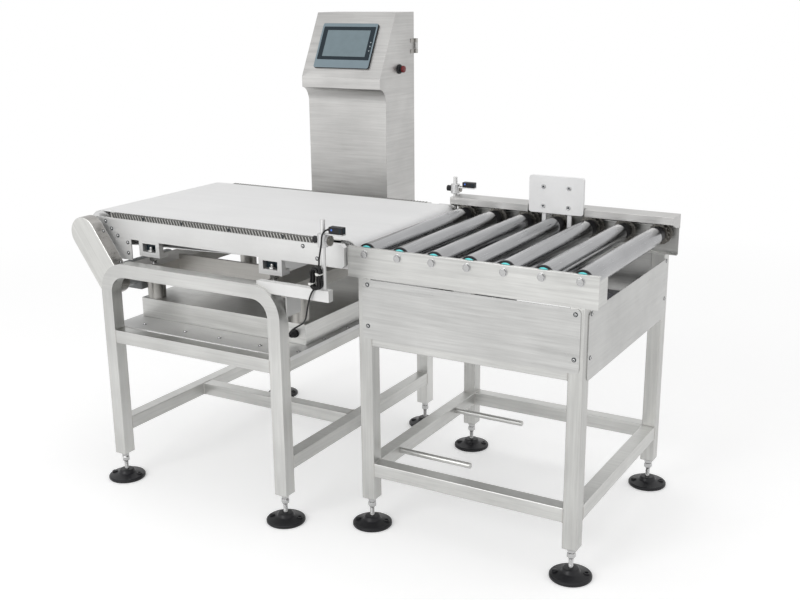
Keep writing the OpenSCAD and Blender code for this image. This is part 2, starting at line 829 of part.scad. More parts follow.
// Bending beam load cell with its two joined holes
module load_cell() {
  mid = [weigh_mid_x, (box_y[0] + box_y[1])/2, box_z + sheet];
  color([0.8, 0.8, 0.82]) placed() translate(mid) difference() {
    translate([-cell_size[0]/2, -cell_size[1]/2, 0]) cube(cell_size);
    for (s = [-1, 1]) rod_y(s*cell_hole_offset, cell_size[2]/2, [-cell_size[1], cell_size[1]], cell_hole_d/2);
    translate([-cell_hole_offset, -cell_size[1], cell_size[2]/2 - cell_hole_d/4])
      cube([2*cell_hole_offset, 2*cell_size[1], cell_hole_d/2]);
  }
}

// Posts on the box, channels on the posts and beams across the channels
module load_frame() {
  far_y = 2*deck_mid_y;
  post_y = [post_y_inset, far_y - post_y_inset];
  color([0.74, 0.74, 0.72]) placed() {
    for (s = [-1, 1]) {
      x = [weigh_mid_x + min(s*channel_x_offset[0], s*channel_x_offset[1]),
        weigh_mid_x + max(s*channel_x_offset[0], s*channel_x_offset[1])];
      for (y = post_y) translate([weigh_mid_x + s*post_x_offset, y, box_top])
        cylinder(h = channel_z[0] - box_top + weld_gap, r = post_d/2);
      difference() {
        span(x, deck_y, channel_z);
        span([x[0] + channel_wall, x[1] - channel_wall], [deck_y[0] - cut, deck_y[1] + cut],
          [channel_z[0] + channel_wall, channel_z[1] - channel_wall]);
      }
    }
    for (y = [beam_y[0], far_y - beam_y[1]])
      span([weigh_mid_x - channel_x_offset[0] - weld_gap, weigh_mid_x + channel_x_offset[0] + weld_gap],
        [y, y + beam_y[1] - beam_y[0]], [channel_z[0], channel_z[0] + beam_h]);
  }
}

// Window brackets that carry the deck on adjusting bolts
module deck_brackets() {
  top = side_plate_z[0];
  inside = [bracket_wall, bracket_w - bracket_wall];
  color([0.8, 0.8, 0.8]) placed() both_sides() for (s = [-1, 1])
    translate([weigh_mid_x + s*bracket_x_offset - bracket_w/2, deck_y[0], 0]) {
      difference() {
        span([0, bracket_w], [0, bracket_depth], [bracket_base_z, top]);
        span(inside, [-cut, bracket_depth + cut], [bracket_base_z + bracket_wall, top - bracket_wall/2]);
      }
      span([0, bracket_w], [0, bracket_foot_depth], [bracket_base_z, bracket_base_z + bracket_wall]);
    }
}

module deck_side_plates() {
  color([0.84, 0.84, 0.83]) placed() both_sides()
    span(deck_x, [deck_y[0], deck_y[0] + side_plate_t], side_plate_z);
}

// Flat bed under the belt on three cross tubes
module slider_bed() {
  bed_z = belt_top - belt_t - running_gap - bed_t;
  inner_y = [deck_y[0] + side_plate_t, deck_y[1] - side_plate_t];
  color([0.7, 0.7, 0.7]) placed() {
    span(bed_x, [belt_y[0] + bed_edge_gap, belt_y[1] - bed_edge_gap], [bed_z, bed_z + bed_t]);
    both_sides() span([cross_tube_x[0], cross_tube_x[2] + tube_w],
      [belt_y[0] + bed_edge_gap, belt_y[0] + bed_edge_gap + bed_t], [side_plate_top, bed_z]);
    for (x = cross_tube_x) tube_y(x, inner_y, side_plate_top - tube_w);
  }
}

// Bearing plates at both ends, the drive's back plate and the idler's bearing caps
module deck_end_plates() {
  color([0.82, 0.82, 0.81]) placed() {
    both_sides() {
      difference() {
        along_y(deck_y[0], side_plate_t) polygon([
          [left_plate_back_x, side_plate_top], [deck_x[0], side_plate_top], [deck_x[0], side_plate_z[0]],
          [left_plate_foot_x[1], side_plate_z[0]], [left_plate_foot_x[1], left_plate_foot_z],
          [left_plate_foot_x[0], left_plate_foot_z], [left_plate_back_x, left_plate_nose_z]]);
        rod_y(drum_x, drum_z, [deck_y[0] - cut, deck_y[0] + side_plate_t + cut], shaft_r + fit);
        rod_y(motor_axis[0], motor_axis[1], [deck_y[0] - cut, deck_y[0] + side_plate_t + cut], motor_r + running_gap);
      }
      difference() {
        span([deck_x[1], right_plate_x1], [deck_y[0], deck_y[0] + side_plate_t], side_plate_z);
        rod_y(idler_x, idler_z, [deck_y[0] - cut, deck_y[0] + side_plate_t + cut], idler_shaft_r + fit);
      }
      difference() {
        along_y(deck_y[0] - cap_t, cap_t - weld_gap) polygon([
          [cap_x[0] + cap_chamfer, cap_z[0]], [cap_x[1], cap_z[0]], [cap_x[1] + cap_chamfer, cap_z[0] + cap_chamfer],
          [cap_x[1] + cap_chamfer, cap_z[1] - cap_chamfer], [cap_x[1], cap_z[1]],
          [cap_x[0] + cap_chamfer, cap_z[1]], [cap_x[0], cap_z[1] - cap_chamfer], [cap_x[0], cap_z[0] + cap_chamfer]]);
        rod_y(idler_x, idler_z, [deck_y[0] - cap_t + side_plate_t, deck_y[0]], idler_shaft_r + fit);
      }
    }
    difference() {
      along_y(drive_plate_y[0], drive_plate_t) obround(cover_axis, motor_axis, drive_plate_r);
      for (a = [[drum_x, drum_z, shaft_r], [motor_axis[0], motor_axis[1], motor_shaft_r]])
        rod_y(a[0], a[1], [drive_plate_y[0] - cut, drive_plate_y[1] + cut], a[2] + fit);
    }
  }
}

module edge_strips() {
  color([0.55, 0.55, 0.54]) placed() both_sides()
    span(strip_x, [deck_y[0], deck_y[0] + strip_w], [side_plate_top + weld_gap, side_plate_top + strip_h]);
}

module weigh_belt() {
  a = [drum_x, drum_z];
  b = [idler_x, idler_z];
  inner = [drum_r + belt_inner_gap, idler_r + belt_inner_gap];
  color([0.93, 0.93, 0.93]) placed() along_y(belt_y[0], belt_w) difference() {
    polygon(loop_outline(a, inner[0] + belt_t, b, inner[1] + belt_t));
    polygon(loop_outline(a, inner[0], b, inner[1]));
  }
}

// A hollow roller shell along +Y, closed by plates at both ends
module roller_shell(x, z, r) {
  difference() {
    rod_y(x, z, belt_y, r);
    rod_y(x, z, [belt_y[0] + shell_t, belt_y[1] - shell_t], r - shell_t);
  }
}
module drive_drum() {
  color([0.6, 0.6, 0.62]) placed() {
    roller_shell(drum_x, drum_z, drum_r);
    rod_y(drum_x, drum_z, [pulley_y, deck_y[1] + cap_t], shaft_r);
    rod_y(drum_x, drum_z, [pulley_y, pulley_y + pulley_w], pulley_r[0]);
  }
}

module idler_roller() {
  color([0.6, 0.6, 0.62]) placed() {
    roller_shell(idler_x, idler_z, idler_r);
    rod_y(idler_x, idler_z, [deck_y[0] - cap_t + side_plate_t + fit, deck_y[1] + cap_t - side_plate_t - fit], idler_shaft_r);
  }
}

// Gear motor with its terminal box, bolted behind the drive's back plate
module drive_motor() {
  y0 = drive_plate_y[1] + fit;
  color([0.35, 0.36, 0.37]) placed() difference() {
    union() {
      rod_y(motor_axis[0], motor_axis[1], [y0, y0 + motor_len], motor_r);
      span([motor_axis[0] - motor_box_w/2, motor_axis[0] + motor_box_w/2], motor_box_y,
        [motor_axis[1] - motor_box_h, motor_axis[1]]);
    }
    rod_y(motor_axis[0], motor_axis[1], [y0 - cut, y0 + motor_shaft_len], motor_shaft_r + fit);
  }
}

module motor_pulley() {
  y0 = drive_plate_y[1];
  color([0.5, 0.5, 0.52]) placed() {
    rod_y(motor_axis[0], motor_axis[1], [pulley_y, pulley_y + pulley_w], pulley_r[1]);
    rod_y(motor_axis[0], motor_axis[1], [pulley_y, y0 + motor_shaft_len - cut], motor_shaft_r);
  }
}

module timing_belt() {
  a = [drum_x, drum_z];
  inner = [for (r = pulley_r) r + running_gap];
  color([0.12, 0.12, 0.12]) placed() along_y(pulley_y, pulley_w) difference() {
    polygon(loop_outline(a, inner[0] + timing_belt_t, motor_axis, inner[1] + timing_belt_t));
    polygon(loop_outline(a, inner[0], motor_axis, inner[1]));
  }
}

module drive_cover() {
  color([0.78, 0.78, 0.76]) placed() difference() {
    along_y(cover_y0, cover_depth) polygon(loop_outline(cover_axis, cover_r, motor_axis, cover_r));
    along_y(cover_y0 + cover_skin, cover_depth)
      polygon(loop_outline(cover_axis, cover_r - cover_skin, motor_axis, cover_r - cover_skin));
  }
}

// Bar, plate and posts that hold the two sensors
module sensor_mounts() {
  color([0.7, 0.7, 0.7]) placed() {
    difference() {
      span([sensor_bar_inner_x, sensor_bar_x1], sensor_bar_y, sensor_bar_z);
      along_y(weigh_y0 - cut, tube_w + 2*cut) translate([weigh_x0, leg_clearance])
        arch([weigh_len + weld_gap, hoop_top + weld_gap - leg_clearance], bend_r);
    }
    span([weigh_x1 + weld_gap, weigh_x1 + gusset_t], gusset_y, gusset_z);
    translate([front_post_x, front_post_y, sensor_bar_z[1] - weld_gap])
      cylinder(h = front_post_h, r = sensor_post_r);
    span([rail_x[0] - rear_block_w, rail_x[0] - weld_gap], [rear_rail_back - rear_block_d, rear_rail_back],
      [stand_top, rear_block_top]);
    translate([rear_post[0], rear_post[1], rear_block_top - weld_gap])
      cylinder(h = rear_post_top - rear_block_top, r = sensor_post_r);
  }
}

module sensor_clamps() {
  color([0.25, 0.25, 0.26]) placed() {
    difference() {
      union() {
        span(front_clamp_x, [front_post_y - clamp_d/2, front_post_y + clamp_d/2], front_clamp_z);
        rod_x(front_post_y, (front_clamp_z[0] + front_clamp_z[1])/2,
          [front_clamp_x[1] - weld_gap, front_clamp_x[1] + rosette_t], rosette_r);
        span(front_shelf_x, [front_post_y - shelf_w/2, front_post_y + shelf_w/2],
          [front_clamp_z[1] - weld_gap, front_clamp_z[1] + shelf_t]);
      }
      translate([front_post_x, front_post_y, front_clamp_z[0] - cut])
        cylinder(h = front_post_h, r = sensor_post_r + fit);
      rod_x(front_post_y, (front_clamp_z[0] + front_clamp_z[1])/2, [front_clamp_x[0] - cut, front_post_x], knob_shank_r + fit);
    }
    difference() {
      union() {
        span(rear_clamp_x, [rear_post[1] - clamp_d/2, rear_post[1] + clamp_d/2], rear_clamp_z);
        rod_x(rear_post[1], (rear_clamp_z[0] + rear_clamp_z[1])/2,
          [rear_clamp_x[1] - weld_gap, rear_clamp_x[1] + rear_rosette_t], rear_rosette_r);
        span([rear_clamp_x[1] - weld_gap, rear_shelf_x1], [rear_post[1] - shelf_w/2, rear_post[1] + shelf_w/2],
          [rear_shelf_z, rear_shelf_z + shelf_t]);
      }
      translate([rear_post[0], rear_post[1], rear_clamp_z[0] - cut]) cylinder(h = front_post_h, r = sensor_post_r + fit);
      rod_x(rear_post[1], (rear_clamp_z[0] + rear_clamp_z[1])/2, [rear_clamp_x[0] - cut, rear_post[0]], knob_shank_r + fit);
    }
  }
}

module light_sensors() {
  color([0.08, 0.08, 0.09]) placed() {
    span(front_sensor_x, [front_post_y - sensor_w/2, front_post_y + sensor_w/2],
      [front_clamp_z[1] + shelf_t + weld_gap, front_clamp_z[1] + shelf_t + front_sensor_h]);
    span(rear_sensor_x, [rear_post[1] - sensor_w/2, rear_post[1] + sensor_w/2],
      [rear_shelf_z + shelf_t + weld_gap, rear_shelf_z + shelf_t + rear_sensor_h]);
  }
}

// A fluted hand knob on a short shank, its head towards -X
module clamp_knob(x, y, z) {
  translate([x, y, z]) rotate([0, -90, 0]) {
    translate([0, 0, -knob_shank_len]) cylinder(h = knob_shank_len + cut, r = knob_shank_r);
    translate([0, 0, fit]) linear_extrude(knob_len) difference() {
      circle(knob_r);
      for (i = [0:knob_flutes - 1]) rotate(i*360/knob_flutes) translate([knob_r, 0])
        circle(flute_r_share*knob_r, $fn = 16);
    }
  }
}
module front_clamp_knob() {
  color([0.1, 0.1, 0.1]) placed()
    clamp_knob(front_clamp_x[0], front_post_y, (front_clamp_z[0] + front_clamp_z[1])/2);
}
module rear_clamp_knob() {
  color([0.1, 0.1, 0.1]) placed()
    clamp_knob(rear_clamp_x[0], rear_post[1], (rear_clamp_z[0] + rear_clamp_z[1])/2);
}

// Lead: free stretches
module sensor_lead() {
  color([0.07, 0.07, 0.07]) placed() {
    sweep(smooth(lead_upper, lead_steps), lead_r, cord_ref, lead_sides);
    sweep(smooth(lead_lower, lead_steps), lead_r, cord_ref, lead_sides);
  }
}

// One point of the hank after s loops: down the right run, round the bottom, up the left and round the top
function hank_radius(s) =
  let (turn = s % (2*hank_sweep)) hank_outer_r - hank_step*min(turn, 2*hank_sweep - turn);
function hank_climbed(s, k) = min(max((s - k*hank_sweep + hank_climb/2)/hank_climb, 0), 1);
function hank_layer(s) =
  hank_y[0] + hank_pitch*[for (k = [1:hank_layers - 1]) hank_climbed(s, k)]*[for (k = [1:hank_layers - 1]) 1];
function hank_point(s) =
  let (
    r = hank_radius(s), f = 4*(s - floor(s)), side = f < 1 || f >= 3 ? 1 : -1,
    turn = 180*((f < 1 || (f >= 2 && f < 3)) ? 0 : f - floor(f)),
    run = hank_run*(0.5 - (f - floor(f))),
    waist = hank_waist*pow(cos(180*run/hank_run), 2))
  f < 1 ? [hank_x + r - waist, hank_layer(s), hank_z + run] :
  f < 2 ? [hank_x + r*cos(turn), hank_layer(s), hank_z - hank_run/2 - r*sin(turn)] :
  f < 3 ? [hank_x - r + waist, hank_layer(s), hank_z - run] :
  [hank_x - r*cos(turn), hank_layer(s), hank_z + hank_run/2 + r*sin(turn)];
hank_path = [for (i = [0:hank_end*loop_rings]) hank_point(i/loop_rings)];
hank_gap = min([for (i = [0:len(hank_path) - 1], j = [i + loop_rings/2:len(hank_path) - 1])
  if (j < len(hank_path)) norm(hank_path[i] - hank_path[j])]) - lead_d;
echo(hank_gap = hank_gap, hank_length = sum_length(hank_path), upper = sum_length(smooth(lead_upper, lead_steps)),
  lower = sum_length(smooth(lead_lower, lead_steps)));
function sum_length(p, i = 0) = i >= len(p) - 1 ? 0 : norm(p[i + 1] - p[i]) + sum_length(p, i + 1);
module lead_hank() {
  color([0.07, 0.07, 0.07]) placed() sweep(hank_path, lead_r, [0, 1, 0], cord_sides);
}

module cable_gland() {
  color([0.08, 0.08, 0.08]) placed() {
    rod_y(gland_x, gland_z, [box_y[0] - gland_flange_t, box_y[0] - weld_gap], gland_flange_r);
    rod_y(gland_x, gland_z, [box_y[0] - gland_len, box_y[0] - gland_flange_t], gland_r);
    translate([gland_x, box_y[0] - gland_flange_t - gland_nut_len, gland_z]) rotate([-90, 0, 0])
      cylinder(h = gland_nut_len, r = gland_nut_r, $fn = 6);
  }
}

// Side outline of the column in Y and Z, as a list of corners
column_outline = concat(
  [[column_y0, column_z0]],
  [[column_y1, column_z0], [column_y1, column_top], [slant_top_y, column_top], [lip_y, lip_z[1]]],
  [for (i = [0:undercut_steps]) let (t = 90*i/undercut_steps)
    [lip_y + (column_y0 - lip_y)*sin(t), lip_z[0] - (lip_z[0] - undercut_z)*(1 - cos(t))]]);
// A corner moved inwards along both of its edges
function inset_corner(p, i, d) =
  let (
    n = len(p), a = p[(i + n - 1) % n], b = p[i], c = p[(i + 1) % n],
    u = unit(b - a), v = unit(c - b), nu = [-u[1], u[0]], nv = [-v[1], v[0]])
  b + (nu + nv)*d/(1 + nu*nv);
module column_solid(d) {
  translate([column_x0 + d, 0, 0]) rotate([90, 0, 90]) linear_extrude(column_w - 2*d)
    polygon([for (i = [0:len(column_outline) - 1]) d == 0 ? column_outline[i] : inset_corner(column_outline, i, d)]);
}
// The slanted face's own frame: X to the right from its right edge, Y up the slope, Z outwards
module on_slant() {
  translate([column_x1, lip_y, lip_z[1]]) rotate([slant_angle, 0, 0]) children();
}
module column_shell() {
  opening_x = [column_x0 + flange_w, column_x1 - flange_w];
  color([0.77, 0.77, 0.76]) placed() difference() {
    column_solid(0);
    column_solid(sheet);
    span(opening_x, [column_y1 - sheet - cut, column_y1 + cut], [door_z[0] + flange_w, door_z[1] - flange_w]);
    on_slant() translate([-panel_u[0] - panel_w + panel_inset, panel_u[1] + panel_inset, -panel_inset])
      cube([panel_w - 2*panel_inset, panel_h - 2*panel_inset, 2*panel_inset]);
    rod_x(switch_y, switch_z, [column_x1 - panel_inset, column_x1 + cut], switch_r + fit);
  }
}

// Rear door with folded edges and the moving knuckles of its hinges
module column_door() {
  x = [column_x0 + door_inset, column_x1 - door_inset];
  y = [column_y1 + door_gap, column_y1 + door_gap + sheet];
  knuckle_h = knuckle_share*hinge_h;
  color([0.78, 0.78, 0.77]) placed() difference() {
    union() {
      span(x, y, door_z);
      for (z = hinge_z) {
        translate([hinge_pin_x, barrel_y, z + (hinge_h - knuckle_h)/2]) cylinder(h = knuckle_h, r = barrel_r);
        span([hinge_pin_x - hinge_leaf_w, hinge_pin_x], [y[1] - weld_gap, y[1] + hinge_leaf_t],
          [z + (hinge_h - knuckle_h)/2, z + (hinge_h + knuckle_h)/2]);
      }
    }
    for (z = hinge_z) translate([hinge_pin_x, barrel_y, z]) cylinder(h = hinge_h, r = pin_r + fit);
    rod_y(column_x0 + latch_inset, latch_z, [y[0] - cut, y[1] + cut], latch_r + fit);
  }
}
module door_hinges() {
  end_h = (1 - knuckle_share)*hinge_h/2 - knuckle_gap;
  color([0.7, 0.7, 0.72]) placed() for (z = hinge_z) {
    translate([hinge_pin_x, barrel_y, z]) cylinder(h = hinge_h, r = pin_r);
    for (dz = [0, hinge_h - end_h]) {
      translate([hinge_pin_x, barrel_y, z + dz]) cylinder(h = end_h, r = barrel_r);
      span([column_x1 + weld_gap, column_x1 + hinge_leaf_t], [column_y1 - hinge_leaf_w, barrel_y], [z + dz, z + dz + end_h]);
    }
  }
}
module door_latch() {
  y = [column_y1 + door_gap, column_y1 + door_gap + sheet];
  x = column_x0 + latch_inset;
  color([0.6, 0.6, 0.62]) placed() {
    rod_y(x, latch_z, [y[0] - latch_cam[1], y[1] + fit], latch_r);
    rod_y(x, latch_z, [y[1] + fit, y[1] + latch_head_t], latch_head_r);
    span([x - latch_cam[2], x + latch_cam[2]], [y[0] - latch_cam[1], y[0] - latch_cam[1]/2], [latch_z, latch_z + latch_cam[0]]);
  }
}

module touch_panel() {
  corner = [-panel_u[0] - panel_w, panel_u[1]];
  back = [panel_w - 2*panel_inset - 2*cut, panel_h - 2*panel_inset - 2*cut];
  color([0.25, 0.27, 0.33]) placed() on_slant() translate([corner[0], corner[1], 0]) {
    difference() {
      translate([0, 0, weld_gap]) linear_extrude(panel_t) round_rect([panel_w, panel_h], panel_inset);
      translate([screen_corner[0], screen_corner[1], panel_t - screen_recess - screen_t])
        cube([screen_size[0], screen_size[1], panel_t]);
    }
    translate([screen_corner[0] + fit, screen_corner[1] + fit, panel_t - screen_recess - screen_t + fit])
      cube([screen_size[0] - 2*fit, screen_size[1] - 2*fit, screen_t]);
    translate([panel_inset + cut, panel_inset + cut, -panel_depth]) cube([back[0], back[1], panel_depth + 2*weld_gap]);
  }
}

module switch_collar() {
  color([0.08, 0.08, 0.08]) placed() difference() {
    rod_x(switch_y, switch_z, [column_x1 + weld_gap, column_x1 + collar_t], collar_r);
    rod_x(switch_y, switch_z, [column_x1 - cut, column_x1 + collar_t + cut], switch_r + fit);
  }
}
module power_switch() {
  color([0.75, 0.1, 0.08]) placed()
    rod_x(switch_y, switch_z, [column_x1 - switch_back, column_x1 + switch_len], switch_r);
}

// Bolt heads, button heads, adjusting bolts and lock nuts
module hex_head_y(x, z, y) {
  translate([x, y, z]) rotate([-90, 0, 0]) cylinder(h = head_h, r = head_r, $fn = 6);
}
module fasteners() {
  skirt_z = [stand_top - front_skirt_drop - skirt_screw_inset[1],
    stand_top - front_skirt_drop - front_skirt_h + skirt_screw_low];
  side_z = [stand_top - side_skirt_drop - side_screw_top, stand_top - side_skirt_drop - side_skirt_h + side_screw_low];
  color([0.66, 0.66, 0.67]) placed() {
    for (i = [0:roller_count - 1]) {
      hex_head_y(first_roller_x + i*roller_pitch, roller_z, rail_front_y - head_h - weld_gap);
      hex_head_y(first_roller_x + i*roller_pitch, roller_z, rear_rail_back + weld_gap);
    }
    for (x = [front_skirt_inset[0] + skirt_screw_inset[0], stand_len - front_skirt_inset[1] - skirt_screw_inset[1]],
      z = skirt_z) rod_y(x, z, [-sheet - button_h, -sheet - weld_gap], button_r);
    for (y = [side_skirt_inset[0] + skirt_screw_inset[0], stand_depth - side_skirt_inset[1] - skirt_screw_inset[1]],
      z = side_z) rod_x(y, z, [stand_len + sheet + weld_gap, stand_len + sheet + button_h], button_r);
    for (p = deck_screws) rod_y(p[0], p[1], [-button_h, -weld_gap], button_r);
    for (x = pan_screw_x) translate([x, pan_screw_y, pan_z + sheet + weld_gap]) cylinder(h = button_h, r = button_r);
    for (y = pan_side_screw_y)
      translate([weigh_x1 - pan_side_screw_inset, y, pan_z + sheet + weld_gap]) cylinder(h = button_h, r = button_r);
    both_sides() for (s = [-1, 1]) translate([weigh_mid_x + s*bracket_x_offset, bracket_foot_depth/2, 0]) {
      translate([0, 0, channel_z[1] + weld_gap])
        cylinder(h = bracket_base_z - channel_z[1] - 2*weld_gap, r = adjust_bolt_r);
      translate([0, 0, bracket_base_z - adjust_nut_h - weld_gap]) cylinder(h = adjust_nut_h, r = adjust_nut_r, $fn = 6);
    }
    for (x = weigh_foot_x, y = weigh_foot_y) lock_nuts(x, y);
    for (x = transfer_foot_x, y = transfer_foot_y) lock_nuts(x, y);
  }
}
module lock_nuts(x, y) {
  for (k = [1, 2]) translate([x, y, leg_clearance - k*nut_h - (k - 1)*nut_gap - weld_gap]) difference() {
    cylinder(h = nut_h, r = nut_r, $fn = 6);
    translate([0, 0, -cut]) cylinder(h = nut_h + 2*cut, r = stud_r + fit);
  }
}

foot(weigh_foot_x[0], weigh_foot_y[0]);  // weigh_foot_fl
foot(weigh_foot_x[1], weigh_foot_y[0]);  // weigh_foot_fr
foot(weigh_foot_x[0], weigh_foot_y[1]);  // weigh_foot_rl
foot(weigh_foot_x[1], weigh_foot_y[1]);  // weigh_foot_rr
foot(transfer_foot_x[0], transfer_foot_y[0]);  // transfer_foot_fl
foot(transfer_foot_x[1], transfer_foot_y[0]);  // transfer_foot_fr
foot(transfer_foot_x[0], transfer_foot_y[1]);  // transfer_foot_rl
foot(transfer_foot_x[1], transfer_foot_y[1]);  // transfer_foot_rr
roller(0);  // roller_1
roller(1);  // roller_2
roller(2);  // roller_3
roller(3);  // roller_4
roller(4);  // roller_5
roller(5);  // roller_6
roller(6);  // roller_7
fasteners();
weigh_hoops();
weigh_rails();
instrument_pan();
load_cell_box();
load_cell();
load_frame();
deck_brackets();
deck_side_plates();
slider_bed();
deck_end_plates();
edge_strips();
weigh_belt();
drive_drum();
idler_roller();
drive_motor();
motor_pulley();
timing_belt();
drive_cover();
sensor_mounts();
sensor_clamps();
light_sensors();
front_clamp_knob();
rear_clamp_knob();
sensor_lead();
lead_hank();
cable_gland();
column_shell();
column_door();
door_hinges();
door_latch();
touch_panel();
switch_collar();
power_switch();
transfer_legs();
transfer_rails();
skirt_panels();
roller_rails();
roller_axles();
chain_guard();
drive_chains();
roller_motor();
pusher_plate();
pusher_carriage();
pusher_cylinder();
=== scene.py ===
"""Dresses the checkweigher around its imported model.

The stands, the weighing deck, the sensor arms, the roller outfeed with its pusher and the console column each
have a class. Places are written in millimetres from the outer front left corner of the roller stand and
turned into the frame's metres.
"""
import logging
import math
from collections.abc import Callable, Iterable, Sequence
from dataclasses import dataclass, field
from enum import Enum

import bmesh
import bpy
from mathutils import Matrix, Vector


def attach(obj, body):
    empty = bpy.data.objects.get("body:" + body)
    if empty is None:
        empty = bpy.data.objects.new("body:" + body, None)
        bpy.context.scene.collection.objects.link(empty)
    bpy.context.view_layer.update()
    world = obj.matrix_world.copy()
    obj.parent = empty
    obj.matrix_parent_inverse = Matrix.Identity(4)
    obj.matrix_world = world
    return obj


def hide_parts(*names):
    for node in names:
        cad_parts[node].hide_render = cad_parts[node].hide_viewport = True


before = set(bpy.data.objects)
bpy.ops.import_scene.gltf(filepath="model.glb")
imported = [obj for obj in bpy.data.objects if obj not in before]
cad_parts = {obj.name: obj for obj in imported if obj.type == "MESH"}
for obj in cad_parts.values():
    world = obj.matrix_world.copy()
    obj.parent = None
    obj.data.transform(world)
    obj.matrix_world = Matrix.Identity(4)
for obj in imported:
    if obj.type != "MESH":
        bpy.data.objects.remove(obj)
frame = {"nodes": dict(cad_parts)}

log = logging.getLogger("checkweigher")

Point = tuple[float, float, float]
Pair = tuple[float, float]
Outline = Sequence[Pair]
Material = bpy.types.Material
Socket = bpy.types.NodeSocket

MM = 0.001
PLAN_ORIGIN = Vector((-148.25, 387.925, 0.0))
ROOT_BODY = "frame"
SHARP_ANGLE = math.radians(38)
FOLD_ANGLE = math.radians(19)
ROLLERS = 7
ROLLER_X, ROLLER_PITCH, ROLLER_Z = 23.0, 94.0, 745.0
BRACKET_X = (-691.0, -271.0)
FRONT, BACK, RIGHT, LEFT, UP = (0, -1, 0), (0, 1, 0), (1, 0, 0), (-1, 0, 0), (0, 0, 1)


def at(x: float, y: float, z: float) -> Vector:
    """Turns a place in the plan's millimetres into the frame's metres."""
    return (Vector((x, y, z)) - PLAN_ORIGIN) * MM


# Bodies


@dataclass(frozen=True)
class Solid:
    """One closed body, as corners in millimetres and faces."""

    points: tuple[Vector, ...]
    faces: tuple[tuple[int, ...], ...]

    def put(self, matrix: Matrix) -> "Solid":
        """This body moved by a matrix, with its faces turned over where the matrix mirrors it."""
        faces = tuple(f[::-1] for f in self.faces) if matrix.determinant() < 0 else self.faces
        return Solid(tuple(matrix @ p for p in self.points), faces)


def bevel(bm: bmesh.types.BMesh, edges: list[bmesh.types.BMEdge], width: float, steps: int) -> None:
    """Rounds some edges of a bmesh."""
    bmesh.ops.bevel(
        bm, geom=edges, offset=width, segments=steps, profile=0.5, affect="EDGES", clamp_overlap=True
    )


def join_rows(bm: bmesh.types.BMesh, rows: list[list[bmesh.types.BMVert]], ring: bool = False) -> None:
    """Joins rows of corners with faces and shuts both ends.

    Args:
        bm: The bmesh that holds the corners.
        rows: Rows with as many corners each, or with a single one at a tip.
        ring: Whether the last row joins the first, so that no end is left to shut.
    """
    for a, b in list(zip(rows, rows[1:])) + ([(rows[-1], rows[0])] if ring else []):
        for k in range(max(len(a), len(b))):
            corners = [a[k % len(a)], a[(k + 1) % len(a)], b[(k + 1) % len(b)], b[k % len(b)]]
            bm.faces.new(list(dict.fromkeys(corners)))
    for row in () if ring else (rows[0], rows[-1]):
        if len(row) > 1:
            bm.faces.new(row)


def closed(bm: bmesh.types.BMesh, edge: float = 0.0, steps: int = 2) -> Solid:
    """Rounds the sharp edges of a bmesh and takes its body out.

    Args:
        bm: The bmesh, which is freed.
        edge: Radius of the rounded edges in millimetres, or 0 for none.
        steps: Number of faces across a rounded edge.

    Returns:
        The finished body.
    """
    bmesh.ops.recalc_face_normals(bm, faces=bm.faces)
    if edge:
        sharp = [e for e in bm.edges if e.is_manifold and e.calc_face_angle() > SHARP_ANGLE]
        bevel(bm, sharp, edge, steps)
    bm.verts.index_update()
    points = tuple(v.co.copy() for v in bm.verts)
    faces = tuple(tuple(v.index for v in f.verts) for f in bm.faces)
    bm.free()
    return Solid(points, faces)


def block(low: Point, high: Point, edge: float = 0.6) -> Solid:
    """A box between two corners with rounded edges."""
    bm = bmesh.new()
    bmesh.ops.create_cube(bm, size=1)
    for v in bm.verts:
        v.co = Vector((lo + hi) / 2 + c * (hi - lo) for lo, hi, c in zip(low, high, v.co))
    return closed(bm, edge)


def plate(outline: Outline, thick: float, edge: float = 0.5, steps: int = 2) -> Solid:
    """A flat shape drawn in X and Y and raised along Z.

    Args:
        outline: Corners of the shape, in order.
        thick: Height along Z.
        edge: Radius of the rounded edges.
        steps: Number of faces across a rounded edge.

    Returns:
        The finished body.
    """
    bm = bmesh.new()
    low = [bm.verts.new((x, y, 0)) for x, y in outline]
    high = [bm.verts.new((x, y, thick)) for x, y in outline]
    bm.faces.new(low[::-1])
    bm.faces.new(high)
    for i, (a, b) in enumerate(zip(low, low[1:] + low[:1])):
        bm.faces.new((a, b, high[(i + 1) % len(high)], high[i]))
    return closed(bm, edge, steps)


def turned(profile: Outline, sides: int = 32, ring: bool = False) -> Solid:
    """A body turned about Z from a profile of radius and height.

    Args:
        profile: Pairs of radius and height, from the bottom up.
        sides: Number of faces round the axis.
        ring: Whether the last point joins the first, for a body with a bore.

    Returns:
        The finished body.
    """
    bm = bmesh.new()
    rows = []
    for radius, height in profile:
        count = sides if radius > 0 else 1
        rows.append([
            bm.verts.new((radius * math.cos(t), radius * math.sin(t), height))
            for t in (math.tau * k / sides for k in range(count))
        ])
    join_rows(bm, rows, ring)
    return closed(bm)


def rod(radius: float, low: float, high: float, sides: int) -> Solid:
    """A plain upright cylinder or prism between two heights."""
    return turned([(0, low), (radius, low), (radius, high), (0, high)], sides)


def swept(path: Sequence[Vector], radius: float, sides: int = 8) -> Solid:
    """A round bar that follows a path.

    Args:
        path: Points of the centre line.
        radius: Radius of the bar.
        sides: Number of faces round the bar.

    Returns:
        The finished body.
    """
    bm = bmesh.new()
    rows = []
    across = Vector((0.3, 0.2, 1.0))
    for i, point in enumerate(path):
        ahead = (path[min(i + 1, len(path) - 1)] - path[max(i - 1, 0)]).normalized()
        across = (across - ahead * across.dot(ahead)).normalized()
        beside = ahead.cross(across)
        angles = (math.tau * k / sides for k in range(sides))
        spokes = (across * math.cos(t) + beside * math.sin(t) for t in angles)
        rows.append([bm.verts.new(point + radius * spoke) for spoke in spokes])
    join_rows(bm, rows)
    return closed(bm)


